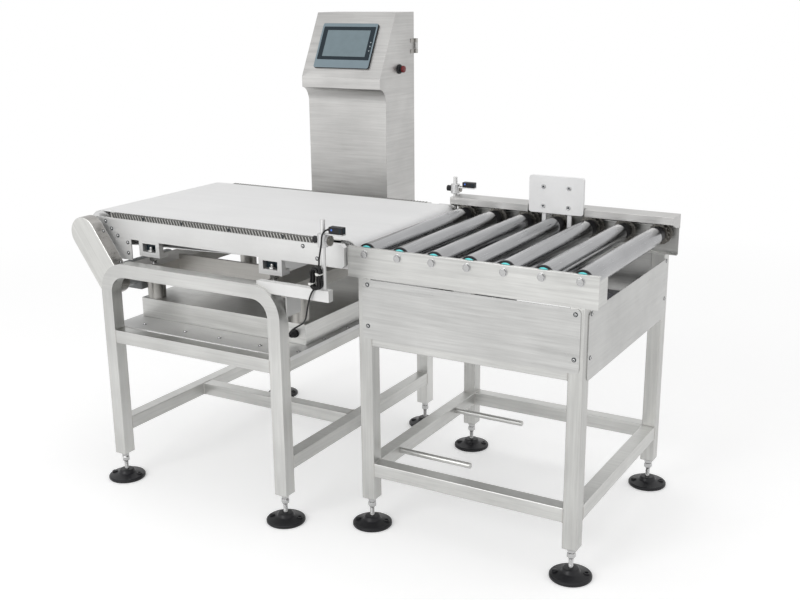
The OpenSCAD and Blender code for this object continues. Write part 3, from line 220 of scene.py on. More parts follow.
def round_outline(low: Pair, high: Pair, radius: float, steps: int = 5) -> Outline:
    """Corners of a rectangle with round corners, anticlockwise.

    Args:
        low: Its lower left corner.
        high: Its upper right corner.
        radius: Radius of its corners.
        steps: Number of straight stretches in a corner.

    Returns:
        The outline.
    """
    middles = [
        (high[0] - radius, high[1] - radius, 0), (low[0] + radius, high[1] - radius, 90),
        (low[0] + radius, low[1] + radius, 180), (high[0] - radius, low[1] + radius, 270),
    ]
    turns = [(x, y, math.radians(turn + 90 * k / steps)) for x, y, turn in middles for k in range(steps + 1)]
    return [(x + radius * math.cos(t), y + radius * math.sin(t)) for x, y, t in turns]


def polar(radius: float, angle: float) -> Pair:
    """The place at a radius and an angle."""
    return radius * math.cos(angle), radius * math.sin(angle)


def band_outline(a: Pair, b: Pair, radius: float, steps: int) -> Outline:
    """Outline of a band with round ends.

    Args:
        a: Middle of its first end.
        b: Middle of its second end.
        radius: Half of its width.
        steps: Number of straight stretches round an end.

    Returns:
        The outline.
    """
    lean = math.atan2(b[1] - a[1], b[0] - a[0])
    turns = [(a, lean + math.pi / 2 + math.pi * k / steps) for k in range(steps + 1)]
    turns += [(b, lean - math.pi / 2 + math.pi * k / steps) for k in range(steps + 1)]
    return [(p[0] + radius * math.cos(t), p[1] + radius * math.sin(t)) for p, t in turns]


def hollow_band(a: Pair, b: Pair, profile: Outline, steps: int = 36) -> Solid:
    """A hollow band with round ends, from a profile that runs out of its hollow and over its rim.

    Args:
        a: Middle of its first end.
        b: Middle of its second end.
        profile: Pairs of radius and height, from the inner floor to the outer face.
        steps: Number of faces round each end.

    Returns:
        The finished body.
    """
    bm = bmesh.new()
    rows = [
        [bm.verts.new((x, y, high)) for x, y in band_outline(a, b, radius, steps)] for radius, high in profile
    ]
    join_rows(bm, rows)
    return closed(bm)


def facing(place: Point, direction: Point) -> Matrix:
    """Turns +Z towards a direction and moves to a place."""
    return Matrix.Translation(place) @ Vector(direction).to_track_quat("Z", "Y").to_matrix().to_4x4()


def towards_back(y: float) -> Matrix:
    """Stands a shape drawn in X and Z up at a depth, with its thickness running to the back."""
    return Matrix(((1, 0, 0, 0), (0, 0, 1, y), (0, 1, 0, 0), (0, 0, 0, 1)))


class Piece:
    """Gathers bodies of several finishes into one named mesh that rides on a body of the frame."""

    def __init__(self, name: str) -> None:
        """Starts an empty piece."""
        self.name = name
        self.points: list[Vector] = []
        self.faces: list[tuple[int, ...]] = []
        self.finishes: list[Material] = []
        self.slots: list[int] = []

    def add(self, solid: Solid, finish: Material, matrix: Matrix | None = None) -> None:
        """Adds one body.

        Args:
            solid: The body.
            finish: Its material.
            matrix: Where the body goes, or None where it is.
        """
        if matrix is not None:
            solid = solid.put(matrix)
        if finish not in self.finishes:
            self.finishes.append(finish)
        start = len(self.points)
        self.points.extend(solid.points)
        self.faces.extend(tuple(start + i for i in face) for face in solid.faces)
        self.slots.extend([self.finishes.index(finish)] * len(solid.faces))

    def make(self, body: str, slot: str, *nodes: str) -> bpy.types.Object:
        """Makes the mesh and joins it to the frame.

        Args:
            body: The body that carries the piece.
            slot: The record's material slot; not used.
            *nodes: CAD nodes that the piece stands for.

        Returns:
            The new object.
        """
        mesh = bpy.data.meshes.new(self.name)
        mesh.from_pydata([(p - PLAN_ORIGIN) * MM for p in self.points], [], self.faces)
        for finish in self.finishes:
            mesh.materials.append(finish)
        mesh.polygons.foreach_set("material_index", self.slots)
        return joined(mesh, self.name, body, nodes)


def joined(
    mesh: bpy.types.Mesh, name: str, body: str, nodes: Iterable[str], crease: float = SHARP_ANGLE
) -> bpy.types.Object:
    """Links a mesh as a shaded piece that rides on a body and stands for nodes.

    Args:
        mesh: The mesh in the frame's metres.
        name: Name of the piece.
        body: The body that carries it.
        nodes: CAD nodes that it stands for.
        crease: Angle above which an edge shows sharp.

    Returns:
        The new object.
    """
    mesh.validate()
    mesh.shade_smooth()
    mesh.set_sharp_from_angle(angle=crease)
    made = bpy.data.objects.new(name, mesh)
    bpy.context.scene.collection.objects.link(made)
    weights = made.modifiers.new("even_shading", "WEIGHTED_NORMAL")
    weights.keep_sharp = True
    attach(made, body)
    if nodes:
        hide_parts(*nodes)
    log.info("%s: %d faces on %s", name, len(mesh.polygons), body)
    return made


# Finishes


class Graph:
    """The node tree of a material or world, with short calls that add nodes and join them."""

    def __init__(self, owner: Material | bpy.types.World) -> None:
        """Empties the owner's tree."""
        owner.use_nodes = True
        self.owner = owner
        self.tree = owner.node_tree
        self.tree.nodes.clear()

    def node(self, kind: str, inputs: dict | None = None, **settings: object) -> bpy.types.Node:
        """Adds one node.

        Args:
            kind: Type of the node, without its ShaderNode prefix.
            inputs: Values or sockets for its inputs, by name or number.
            **settings: Its other properties.

        Returns:
            The node.
        """
        made = self.tree.nodes.new("ShaderNode" + kind)
        for key, value in settings.items():
            setattr(made, key, value)
        for key, value in (inputs or {}).items():
            if isinstance(value, Socket):
                self.tree.links.new(value, made.inputs[key])
            else:
                made.inputs[key].default_value = value
        return made

    def place(self) -> Socket:
        """The point on the piece, in metres."""
        return self.node("TexCoord").outputs["Object"]

    def noise(self, vector: Socket, scale: float, detail: float = 2.0, roughness: float = 0.5) -> Socket:
        """Noise between 0 and 1."""
        inputs = {"Vector": vector, "Scale": scale, "Detail": detail, "Roughness": roughness}
        return self.node("TexNoise", inputs).outputs["Fac"]

    def math(self, operation: str, a: Socket | float, b: Socket | float = 0.0) -> Socket:
        """One sum, product or test of two values."""
        return self.node("Math", {0: a, 1: b}, operation=operation).outputs[0]

    def spread(self, value: Socket, low: float, high: float, start: float = 0.3, end: float = 0.7) -> Socket:
        """Maps the stretch from start to end onto the one from low to high."""
        inputs = {"Value": value, "From Min": start, "From Max": end, "To Min": low, "To Max": high}
        return self.node("MapRange", inputs).outputs["Result"]

    def blend(self, factor: Socket, a: Socket | tuple, b: Socket | tuple) -> Socket:
        """Mixes two colours or vectors."""
        return self.node("MixRGB", {"Fac": factor, "Color1": a, "Color2": b}).outputs["Color"]

    def bump(self, height: Socket, strength: float, depth: float) -> Socket:
        """A normal that follows a height, with its depth in metres."""
        inputs = {"Height": height, "Strength": strength, "Distance": depth}
        return self.node("Bump", inputs).outputs["Normal"]

    def seen(self) -> Socket:
        """A value that is 1 for rays that show the background and 0 for those that carry light."""
        path = self.node("LightPath")
        total = path.outputs["Is Camera Ray"]
        for name in ("Is Glossy Ray", "Is Transmission Ray"):
            inputs = {0: total, 1: path.outputs[name]}
            total = self.node("Math", inputs, operation="ADD", use_clamp=True).outputs[0]
        return total

    def close(self, **shader: object) -> Material:
        """Ends the tree in a principled shader.

        Args:
            **shader: Its inputs, with underscores for spaces.

        Returns:
            The material.
        """
        inputs = {key.replace("_", " "): value for key, value in shader.items()}
        bsdf = self.node("BsdfPrincipled", inputs)
        self.node("OutputMaterial", {"Surface": bsdf.outputs["BSDF"]})
        return self.owner


def shade(colour: Sequence[float], factor: float) -> tuple[float, float, float, float]:
    """A colour made lighter or darker."""
    return (*(min(c * factor, 1.0) for c in colour), 1.0)


class Grain(Enum):
    """Which way a brushed surface was brushed."""

    LEVEL = "along the longer level direction of each face"
    UPRIGHT = "up and down"
    HOOP = "up the legs and along the bent top"
    DEPTH = "from front to back"
    SLOPE = "along the drive cover"


@dataclass(frozen=True)
class Brushed:
    """Brushed or ground stainless steel."""

    name: str
    colour: Point = (0.60, 0.60, 0.585)
    grain: Grain = Grain.LEVEL
    rough: float = 0.36
    streak: float = 0.12
    cloud: float = 0.12
    line: float = 170.0
    hoop_turn: float = 0.572
    cover_lean: float = math.radians(-55.6)
    along: float = 5.0
    side_share: float = 0.7

    def lines(self, g: Graph) -> Socket:
        """The stretched point that the brush marks are drawn from.

        Args:
            g: The material's graph.

        Returns:
            A vector socket.
        """
        place = g.place()
        fine, long = self.line, self.along
        scales = {Grain.UPRIGHT: (fine, fine, long), Grain.DEPTH: (fine, long, fine)}

        def stretched(scale: Point, turn: float = 0.0) -> Socket:
            """The point turned about Y and stretched."""
            turned_place = g.node("Mapping", {"Vector": place, "Rotation": (0.0, turn, 0.0)}).outputs[0]
            return g.node("Mapping", {"Vector": turned_place, "Scale": scale}).outputs[0]

        if self.grain in scales:
            return stretched(scales[self.grain])
        if self.grain is Grain.SLOPE:
            return stretched((long, fine, fine), self.cover_lean)
        level = stretched((long, fine, fine))
        if self.grain is Grain.HOOP:
            height = g.node("SeparateXYZ", {0: place}).outputs["Z"]
            return g.blend(g.math("LESS_THAN", height, self.hoop_turn), level, stretched((fine, fine, long)))
        side = g.node("SeparateXYZ", {0: g.node("TexCoord").outputs["Normal"]}).outputs["X"]
        turned_side = g.math("GREATER_THAN", g.math("ABSOLUTE", side), self.side_share)
        return g.blend(turned_side, level, stretched((fine, long, fine)))

    def build(self) -> Material:
        """Makes the material."""
        g = Graph(bpy.data.materials.new(self.name))
        marks = g.noise(self.lines(g), 1.0, 5.0, 0.72)
        cloud = g.noise(g.place(), 4.2, 3.0, 0.55)
        handled = g.noise(g.place(), 23.0, 4.0, 0.6)
        tone = g.math("MULTIPLY", g.spread(marks, 1 - self.streak, 1 + self.streak),
                      g.spread(cloud, 1 - self.cloud, 1 + self.cloud / 2))
        colour = g.node("MixRGB", {"Fac": 1.0, "Color1": shade(self.colour, 1.0), "Color2": tone},
                        blend_type="MULTIPLY").outputs["Color"]
        rough = g.math("ADD", g.spread(marks, self.rough - 0.07, self.rough + 0.09),
                       g.spread(handled, -0.03, 0.05))
        return g.close(Base_Color=colour, Metallic=1.0, Roughness=rough, Normal=g.bump(marks, 0.25, 0.0002))


@dataclass(frozen=True)
class Moulded:
    """Moulded plastic, rubber or paint with a fine skin."""

    name: str
    colour: Point
    rough: float = 0.45
    skin: float = 900.0
    relief: float = 0.25
    wear: float = 0.10
    shine: float = 0.5

    def build(self) -> Material:
        """Makes the material."""
        g = Graph(bpy.data.materials.new(self.name))
        place = g.place()
        skin = g.noise(place, self.skin, 3.0, 0.6)
        dust = g.noise(place, 14.0, 4.0, 0.6)
        dark, light = shade(self.colour, 1 - self.wear), shade(self.colour, 1 + self.wear)
        colour = g.blend(g.spread(dust, 0.0, 1.0), dark, light)
        rough = g.math("ADD", g.spread(skin, self.rough - 0.04, self.rough + 0.05),
                       g.spread(dust, -0.05, 0.08))
        return g.close(Base_Color=colour, Roughness=rough, Specular_IOR_Level=self.shine,
                       Normal=g.bump(skin, self.relief, 0.0003))


@dataclass(frozen=True)
class BeltCloth:
    """White food belt with a faint weave pressed into its face."""

    name: str = "belt_cloth"
    colour: Point = (0.86, 0.86, 0.86)
    weave: float = 1.6

    def build(self) -> Material:
        """Makes the material."""
        g = Graph(bpy.data.materials.new(self.name))
        place = g.place()
        pitch = math.tau / (self.weave * MM)
        axes = g.node("SeparateXYZ", {0: place})
        waves = [g.math("SINE", g.math("MULTIPLY", axes.outputs[a], pitch)) for a in "XY"]
        weave = g.math("MULTIPLY", waves[0], waves[1])
        drawn = g.node("Mapping", {"Vector": place, "Scale": (2.0, 26.0, 2.0)}).outputs[0]
        rubbed = g.noise(drawn, 1.0, 4.0, 0.6)
        cloud = g.noise(place, 3.0, 3.0)
        dark, light = shade(self.colour, 0.95), shade(self.colour, 1.03)
        colour = g.blend(g.math("ADD", g.spread(rubbed, 0.0, 0.5), g.spread(cloud, 0.0, 0.5)), dark, light)
        rough = g.spread(rubbed, 0.5, 0.62)
        return g.close(Base_Color=colour, Roughness=rough, Normal=g.bump(weave, 0.35, 0.0002))


@dataclass(frozen=True)
class Glazed:
    """Matt screen glass over an unlit display, or a small clear lens."""

    name: str
    colour: Point
    rough: float = 0.28

    def build(self) -> Material:
        """Makes the material."""
        g = Graph(bpy.data.materials.new(self.name))
        haze = g.noise(g.place(), 30.0, 3.0)
        grit = g.noise(g.place(), 2500.0, 1.0)
        colour = g.blend(g.spread(haze, 0.0, 1.0), shade(self.colour, 0.94), shade(self.colour, 1.06))
        return g.close(Base_Color=colour, Roughness=g.spread(haze, self.rough - 0.04, self.rough + 0.06),
                       Specular_IOR_Level=0.3, Normal=g.bump(grit, 0.1, 0.0001))


Finish = Brushed | Moulded | BeltCloth | Glazed


def made_of(finish: Finish) -> Material:
    """A field whose material is built when the set of finishes is made."""
    return field(default_factory=finish.build)


@dataclass
class Finishes:
    """Every finish of the machine, made once."""

    sheet: Material = made_of(Brushed("sheet_steel"))
    frame: Material = made_of(Brushed("tube_steel", (0.56, 0.56, 0.545)))
    leg: Material = made_of(Brushed("leg_steel", (0.53, 0.53, 0.515), Grain.UPRIGHT))
    hoop: Material = made_of(Brushed("hoop_steel", (0.60, 0.60, 0.585), Grain.HOOP, streak=0.08))
    cover: Material = made_of(Brushed("cover_steel", (0.66, 0.66, 0.64), Grain.SLOPE, streak=0.09))
    # A darker copy of the cover's steel: painted shade on the drive cover's rolled edge and sides.
    rim: Material = made_of(Brushed("cover_rim_painted_shade", (0.36, 0.35, 0.335), Grain.DEPTH, 0.3))
    skirt: Material = made_of(Brushed("skirt_steel", (0.52, 0.52, 0.51), Grain.LEVEL, 0.34))
    pusher: Material = made_of(Moulded("pusher_coat", (0.93, 0.93, 0.93), 0.4, 350, 0.2, 0.03))
    column: Material = made_of(Brushed("column_steel", (0.50, 0.495, 0.485), rough=0.40, cloud=0.12))
    blasted: Material = made_of(
        Brushed("blasted_plate", (0.68, 0.68, 0.675), rough=0.55, streak=0.04, cloud=0.07))
    dull: Material = made_of(Brushed("inner_plate", (0.42, 0.41, 0.39), rough=0.4))
    bolt: Material = made_of(Brushed("bright_fastener", (0.50, 0.50, 0.50), rough=0.2, streak=0.04, line=400))
    roller: Material = made_of(
        Brushed("roller_tube", (0.36, 0.363, 0.37), Grain.DEPTH, 0.19, 0.07, 0.16, 220))
    bright: Material = made_of(Brushed("drawn_bar", (0.7, 0.7, 0.7), Grain.UPRIGHT, 0.22, 0.05, 0.06))
    chain: Material = made_of(Brushed("oiled_chain", (0.25, 0.24, 0.22), rough=0.32, streak=0.05))
    weld: Material = made_of(Brushed("weld_metal", (0.56, 0.55, 0.53), rough=0.42, streak=0.14, line=500))
    dark_alloy: Material = made_of(Brushed("dark_anodised", (0.10, 0.10, 0.11), Grain.DEPTH, 0.42, 0.05))
    alloy: Material = made_of(Brushed("cast_alloy", (0.62, 0.62, 0.62), rough=0.5, streak=0.03))
    foot: Material = made_of(Moulded("foot_nylon", (0.012, 0.012, 0.014), 0.36, 500, 0.3, shine=0.3))
    black: Material = made_of(Moulded("black_plastic", (0.012, 0.012, 0.014), 0.4, shine=0.3))
    rubber: Material = made_of(Moulded("belt_rubber", (0.03, 0.03, 0.03), 0.7, 700, 0.4))
    jacket: Material = made_of(Moulded("lead_jacket", (0.011, 0.011, 0.012), 0.42, 600, shine=0.3))
    cyan: Material = made_of(Moulded("bearing_cap", (0.20, 0.92, 0.97), 0.35, 400, 0.15))
    rib: Material = made_of(Moulded("strip_rib", (0.075, 0.073, 0.068), 0.5, 400))
    white: Material = made_of(Moulded("white_coat", (0.88, 0.88, 0.885), 0.4, 350, 0.2, 0.03, shine=0.35))
    tie: Material = made_of(Moulded("white_tie", (0.78, 0.78, 0.76), 0.4, 400, 0.1, 0.03))
    paint: Material = made_of(Moulded("motor_paint", (0.25, 0.26, 0.265), 0.45, 300))
    bezel: Material = made_of(Moulded("panel_bezel", (0.21, 0.27, 0.305), 0.42, 700, 0.15, 0.04, shine=0.3))
    surround: Material = made_of(
        Moulded("screen_surround", (0.012, 0.022, 0.03), 0.36, 700, 0.1, 0.05, shine=0.25))
    screen: Material = made_of(Glazed("screen_glass", (0.185, 0.24, 0.265), 0.42))
    lens: Material = made_of(Glazed("blue_lens", (0.10, 0.22, 0.75), 0.15))
    lamp: Material = made_of(Glazed("pale_lamp", (0.5, 0.56, 0.58), 0.2))
    red: Material = made_of(Moulded("red_switch", (0.17, 0.006, 0.008), 0.25, 300, 0.1, 0.08, shine=0.4))
    belt: Material = made_of(BeltCloth())


# CAD nodes


@dataclass(frozen=True)
class SoftEdges:
    """Copies CAD nodes with the edges of their folded and drawn metal rounded."""

    corner: Pair = (math.radians(50), math.radians(130))
    least_reach: float = 2.4
    least_fill: float = 0.42
    weld_gap: float = 2e-6
    flat: float = math.radians(0.5)

    @staticmethod
    def _reach(edge: bmesh.types.BMEdge, face: bmesh.types.BMFace) -> Pair:
        """Measures a face beside one of its edges.

        Args:
            edge: The edge.
            face: One of its faces.

        Returns:
            How far the face reaches from the edge, and the share of its own box that it fills.
        """
        start, along = edge.verts[0].co, (edge.verts[1].co - edge.verts[0].co).normalized()
        across = face.normal.cross(along)
        u = [(v.co - start).dot(along) for v in face.verts]
        w = [(v.co - start).dot(across) for v in face.verts]
        wide, deep = max(u) - min(u), max(w) - min(w)
        return deep, face.calc_area() / max(wide * deep, 1e-12)

    def _takes(self, edge: bmesh.types.BMEdge, width: float) -> bool:
        """Whether an edge is an outer corner between two broad faces."""
        angle = edge.calc_face_angle() if edge.is_manifold and edge.is_convex else 0.0
        if not self.corner[0] < angle < self.corner[1]:
            return False
        sizes = [self._reach(edge, face) for face in edge.link_faces]
        return all(deep > self.least_reach * width and fill > self.least_fill for deep, fill in sizes)

    def dress(self, node: str, finish: Material, slot: str, width: float, body: str = ROOT_BODY) -> None:
        """Makes the rounded copy of one node.

        Args:
            node: Name of the CAD node, which the copy replaces.
            finish: Material of the copy.
            slot: The record's material slot; not used.
            width: Radius of the rounded edges in millimetres.
            body: The body that carries the node.
        """
        bm = bmesh.new()
        bm.from_mesh(frame["nodes"][node].data)
        bmesh.ops.remove_doubles(bm, verts=bm.verts, dist=self.weld_gap)
        bmesh.ops.dissolve_limit(bm, angle_limit=self.flat, verts=bm.verts, edges=bm.edges)
        bmesh.ops.recalc_face_normals(bm, faces=bm.faces)
        bevel(bm, [e for e in bm.edges if self._takes(e, width * MM)], width * MM, 5)
        bmesh.ops.triangulate(bm, faces=[f for f in bm.faces if len(f.verts) > 4])
        mesh = bpy.data.meshes.new(node)
        bm.to_mesh(mesh)
        bm.free()
        mesh.materials.clear()
        mesh.materials.append(finish)
        joined(mesh, f"rounded_{node}", body, [node], FOLD_ANGLE)

    def paint(self, node: str, finish: Material) -> None:
        """Gives a CAD node, left as it is, a better material."""
        mesh = frame["nodes"][node].data
        mesh.materials.clear()
        mesh.materials.append(finish)
        log.info("%s: keeps its shape, takes %s", node, finish.name)


# Small parts


@dataclass(frozen=True)
class Screws:
    """Shapes of the machine's screws, bolts and nuts."""

    finish: Material
    dark: Material
    hex_radius: float = 9.0
    hex_high: float = 6.0

    def hex_bolt(self, piece: Piece, place: Point, direction: Point) -> None:
        """Adds a hexagon head with its washer.

        Args:
            piece: The piece that takes it.
            place: Middle of its underside.
            direction: Which way its top points.
        """
        m = facing(place, direction)
        radius, high = self.hex_radius, self.hex_high
        rim, flat = radius * 1.16, radius * 0.97
        washer = [(0, 0), (radius * 1.12, 0), (rim, 0.3), (rim, 1.1), (radius * 1.1, 1.4), (0, 1.4)]
        piece.add(turned(washer, 28), self.finish, m)
        cap = [(0, 1.4), (flat, 1.4), (flat, high - 1.0), (radius * 0.82, high - 0.05), (0, high)]
        piece.add(turned(cap, 6), self.finish, m @ Matrix.Rotation(math.radians(12), 4, "Z"))

    def button(
        self, piece: Piece, place: Point, direction: Point, radius: float = 5.0, high: float = 3.0
    ) -> None:
        """Adds a button head with a hexagon socket, with a dark ring round it and a dark socket floor as
        painted shade.

        Args:
            piece: The piece that takes it.
            place: Middle of its underside.
            direction: Which way its top points.
            radius: Radius of the head.
            high: Height of the head.
        """
        m = facing(place, direction)
        # A thin dark ring under the head: painted shade round the head.
        piece.add(rod(radius * 1.12, 0, 0.5, 24), self.dark, m)
        radius *= 0.8
        dome = [
            (0.42, high), (0.62, high * 0.98), (0.82, high * 0.8), (0.96, high * 0.42), (1.0, 0.1), (0.98, 0),
        ]
        profile = [(radius * r, h) for r, h in reversed(dome)]
        profile += [(radius * 0.40, high * 0.55), (0, high * 0.5)]
        piece.add(turned([(0, 0), *profile], 24), self.finish, m)
        # A dark floor in the socket: painted shade in the recess.
        piece.add(rod(radius * 0.36, high * 0.5, high * 0.6, 6), self.dark, m)

    def nut(
        self, piece: Piece, place: Point, radius: float, high: float, bore: float, turn: float = 10.0
    ) -> None:
        """Adds an upright hexagon nut.

        Args:
            piece: The piece that takes it.
            place: Middle of its underside.
            radius: Its radius to the corners.
            high: Its height.
            bore: Radius of its bore.
            turn: How far it is turned, in degrees.
        """
        profile = [
            (bore, 0.5), (bore + 0.6, 0), (radius * 0.86, 0), (radius, high * 0.14), (radius, high * 0.86),
            (radius * 0.86, high), (bore + 0.6, high), (bore, high - 0.5),
        ]
        m = Matrix.Translation(place) @ Matrix.Rotation(math.radians(turn), 4, "Z")
        piece.add(turned(profile, 6, ring=True), self.finish, m)


@dataclass(frozen=True)
class Foot:
    """Adjustable foot: a nylon pad on a threaded stud, with a lug and a screw hole on the pad."""

    pad_radius: float = 52.5
    pad_high: float = 26.0
    sole: float = 4.0
    stud_radius: float = 5.95
    stud_top: float = 140.0
    thread_from: float = 30.0
    thread_to: float = 80.0
    pitch: float = 2.0
    lug_radius: float = 38.0
    lug_low: float = 8.0

    def build(self, name: str, x: float, y: float, look: Finishes) -> None:
        """Makes one foot.

        Args:
            name: Name of its body and of the CAD node.
            x: Place along the travel.
            y: Place in depth.
            look: The machine's finishes.
        """
        r, h, s, sole = self.pad_radius, self.pad_high, self.stud_radius, self.sole
        pad = [
            (0, 0), (r * 0.93, 0), (r * 0.97, 0.8), (r, 2.6), (r, 7.4), (r * 0.985, 8.6), (r * 0.93, 10.4),
            (r * 0.9, 10.2), (r * 0.87, 10.9), (r * 0.5, 14.8), (r * 0.43, 18), (r * 0.4, 23.8),
            (r * 0.36, 25.4), (r * 0.33, h), (s + 0.4, h), (s + 0.1, h - 1), (s + 0.1, sole), (0, sole),
        ]
        piece = Piece(name + "_dressed")
        here = Matrix.Translation((x, y, 0))
        piece.add(turned(pad, 64), look.foot, here)
        stud = [(0, sole + 0.1), (s - 0.5, sole + 0.1), (s, sole + 0.8), (s, self.thread_from - 2)]
        for k in range(int((self.thread_to - self.thread_from) / self.pitch)):
            z = self.thread_from + k * self.pitch
            stud += [(s - 0.8, z), (s, z + self.pitch / 2)]
        stud += [(s, self.thread_to + 1), (s, self.stud_top - 1), (0, self.stud_top)]
        piece.add(turned(stud, 20), look.bolt, here)
        stub = [(0, 0), (8.4, 0), (8.2, 7.2), (6.8, 8.4), (0, 8.8)]
        rim = [(0, 0), (8.4, 0), (8.4, 6.4), (7.6, 7.2), (4.6, 7.2), (4.2, 6.6), (4.0, 2.2), (0, 2.2)]
        for turn, lug in ((200, stub), (20, rim)):
            place = here @ Matrix.Rotation(math.radians(turn), 4, "Z")
            place = place @ Matrix.Translation((self.lug_radius, 0, self.lug_low))
            piece.add(turned(lug, 24), look.foot, place)
        piece.make(name, "foot_plastic", name)


@dataclass
class Stands:
    """Both welded stands with their feet, skirts, pan and fasteners."""

    look: Finishes
    soft: SoftEdges
    screws: Screws
    tube: float = 38.0
    weigh_x: Pair = (-787.0, -175.0)
    weigh_y: Pair = (-98.0, 717.0)
    transfer_x: Pair = (0.0, 600.0)
    transfer_y: Pair = (0.0, 630.0)
    low_rail: float = 148.0
    high_rail: float = 507.0
    mid_rail: float = 422.0
    low_cross_y: float = 260.6
    pan_top: float = 462.05
    rail_faces_y: Pair = (-4.05, 602.05)
    skirt_screws_x: Pair = (29.0, 577.0)
    skirt_screws_z: Pair = (668.0, 561.0)
    skirt_face_y: float = -2.05
    side_screws_y: Pair = (35.0, 601.0)
    side_screws_z: Pair = (664.0, 559.0)
    side_face_x: float = 602.05
    pan_screw_y: float = -20.0
    pan_side_screw_x: float = -182.0
    pan_screw_x: tuple[float, ...] = (-709.0, -560.0, -439.0, -300.0)
    pan_side_screw_y: tuple[float, ...] = (-10.0, 110.0, 230.0, 350.0, 470.0)
    front_face_y: float = -0.05
    front_screws: tuple[Pair, ...] = (
        (-849, 745), (-828, 725), (-806, 706), (-770, 660), (-770, 690), (-164, 745), (-121, 717),
    )
    stem_y: Pair = (17.5, 545.5)
    stem_z: float = 635.1
    stem_nut_z: float = 643.9
    foot_nuts: tuple[Pair, ...] = ((66.95, 8), (52.95, 22))
    bead: float = 1.5
    bead_corner: float = 3.0
    bead_steps: int = 10
    ripple: float = 0.35

    def places(self, x: Pair, y: Pair) -> list[tuple[str, float, float]]:
        """The four leg centres of a stand, with the ending of each foot's name."""
        half = self.tube / 2
        ends = (("fl", x[0] + half, y[0] + half), ("fr", x[1] - half, y[0] + half))
        return [*ends, ("rl", x[0] + half, y[1] - half), ("rr", x[1] - half, y[1] - half)]

    def build(self) -> None:
        """Makes the stands' pieces."""
        look = self.look
        foot = Foot()
        for stand, x, y in (
            ("weigh", self.weigh_x, self.weigh_y), ("transfer", self.transfer_x, self.transfer_y),
        ):
            for end, px, py in self.places(x, y):
                foot.build(f"{stand}_foot_{end}", px, py, look)
        for node, finish, slot, width in (
            ("weigh_hoops", look.hoop, "steel_frame", 2.6),
            ("weigh_rails", look.frame, "steel_frame", 2.6),
            ("transfer_legs", look.leg, "steel_frame", 2.6),
            ("transfer_rails", look.frame, "steel_frame", 2.6),
            ("instrument_pan", look.blasted, "steel_sheet", 0.9),
            ("load_cell_box", look.sheet, "steel_sheet", 1.6),
            ("skirt_panels", look.skirt, "steel_sheet", 0.7),
        ):
            self.soft.dress(node, finish, slot, width)
        self.soft.paint("load_cell", look.alloy)
        self.welds()
        self.fasteners()

    def ring(self, piece: Piece, centre: Point, axis: str, seed: int) -> None:
        """Adds a weld bead round a tube.

        Args:
            piece: The piece that takes it.
            centre: Middle of the tube where the bead lies.
            axis: Letter of the axis along the tube, x or y.
            seed: Shifts the beads' ripples.
        """
        half, steps = self.tube / 2, self.bead_steps
        corners = [
            Vector((a, b, 0)) for a, b in round_outline((-half, -half), (half, half), self.bead_corner, 2)
        ]
        turn = Matrix.Rotation(math.pi / 2, 4, "Y" if axis == "x" else "X")
        path = []
        for i, (a, b) in enumerate(zip(corners, corners[1:] + corners[:1])):
            count = steps if (b - a).length > 10 else 1
            for k in range(count):
                ripple = self.ripple * math.sin(2.3 * (i * steps + k) + seed)
                p = a.lerp(b, k / count)
                path.append(p + p.normalized() * ripple)
        m = Matrix.Translation(centre) @ turn
        piece.add(swept([m @ p for p in path + path[:1]], self.bead, 6), self.look.weld)

    def welds(self) -> None:
        """Makes the beads where the rails meet the legs."""
        piece = Piece("weld_beads")
        half, count = self.tube / 2, 0
        for x, y, heights, cross in (
            (self.weigh_x, self.weigh_y, (self.mid_rail,), True),
            (self.transfer_x, self.transfer_y, (self.low_rail, self.high_rail), False),
        ):
            for z in heights:
                for py in (y[0] + half, y[1] - half):
                    for px in (x[0] + self.tube, x[1] - self.tube):
                        self.ring(piece, (px, py, z + half), "x", count := count + 1)
            for z in {*heights, self.low_rail}:
                for px in (x[0] + half, x[1] - half):
                    for py in (y[0] + self.tube, y[1] - self.tube):
                        self.ring(piece, (px, py, z + half), "y", count := count + 1)
            if cross:
                for px in (x[0] + self.tube, x[1] - self.tube):
                    centre = (px, self.low_cross_y + half, self.low_rail + half)
                    self.ring(piece, centre, "x", count := count + 1)
        piece.make(ROOT_BODY, "steel_frame")

    def fasteners(self) -> None:
        """Makes every screw, bolt and nut of the frame, which stand for the fasteners node."""
        piece = Piece("screws_and_bolts")
        s = self.screws
        for i in range(ROLLERS):
            for y, direction in zip(self.rail_faces_y, (FRONT, BACK)):
                s.hex_bolt(piece, (ROLLER_X + ROLLER_PITCH * i, y, ROLLER_Z), direction)
        pan_z = self.pan_top + 0.05
        spots = [((x, self.skirt_face_y, z), FRONT) for z in self.skirt_screws_z for x in self.skirt_screws_x]
        spots += [((self.side_face_x, y, z), RIGHT) for z in self.side_screws_z for y in self.side_screws_y]
        spots += [((x, self.front_face_y, z), FRONT) for x, z in self.front_screws]
        spots += [((x, self.pan_screw_y, pan_z), UP) for x in self.pan_screw_x]
        spots += [((self.pan_side_screw_x, y, pan_z), UP) for y in self.pan_side_screw_y]
        for place, direction in spots:
            s.button(piece, place, direction)
        thread = [(8 - 0.8 * (k % 2), 1 + k) for k in range(19)]
        stem = turned([(0, 0), (8, 0), *thread, (8, 20.8), (0, 20.8)], 20)
        for x in BRACKET_X:
            for y in self.stem_y:
                piece.add(stem, s.finish, Matrix.Translation((x, y, self.stem_z)))
                s.nut(piece, (x, y, self.stem_nut_z), 14, 12, 8.05)
        legs = self.places(self.weigh_x, self.weigh_y) + self.places(self.transfer_x, self.transfer_y)
        for _, x, y in legs:
            for z, turn in self.foot_nuts:
                s.nut(piece, (x, y, z), 11, 13, 6.05, turn)
        piece.make(ROOT_BODY, "fastener_steel", "fasteners")


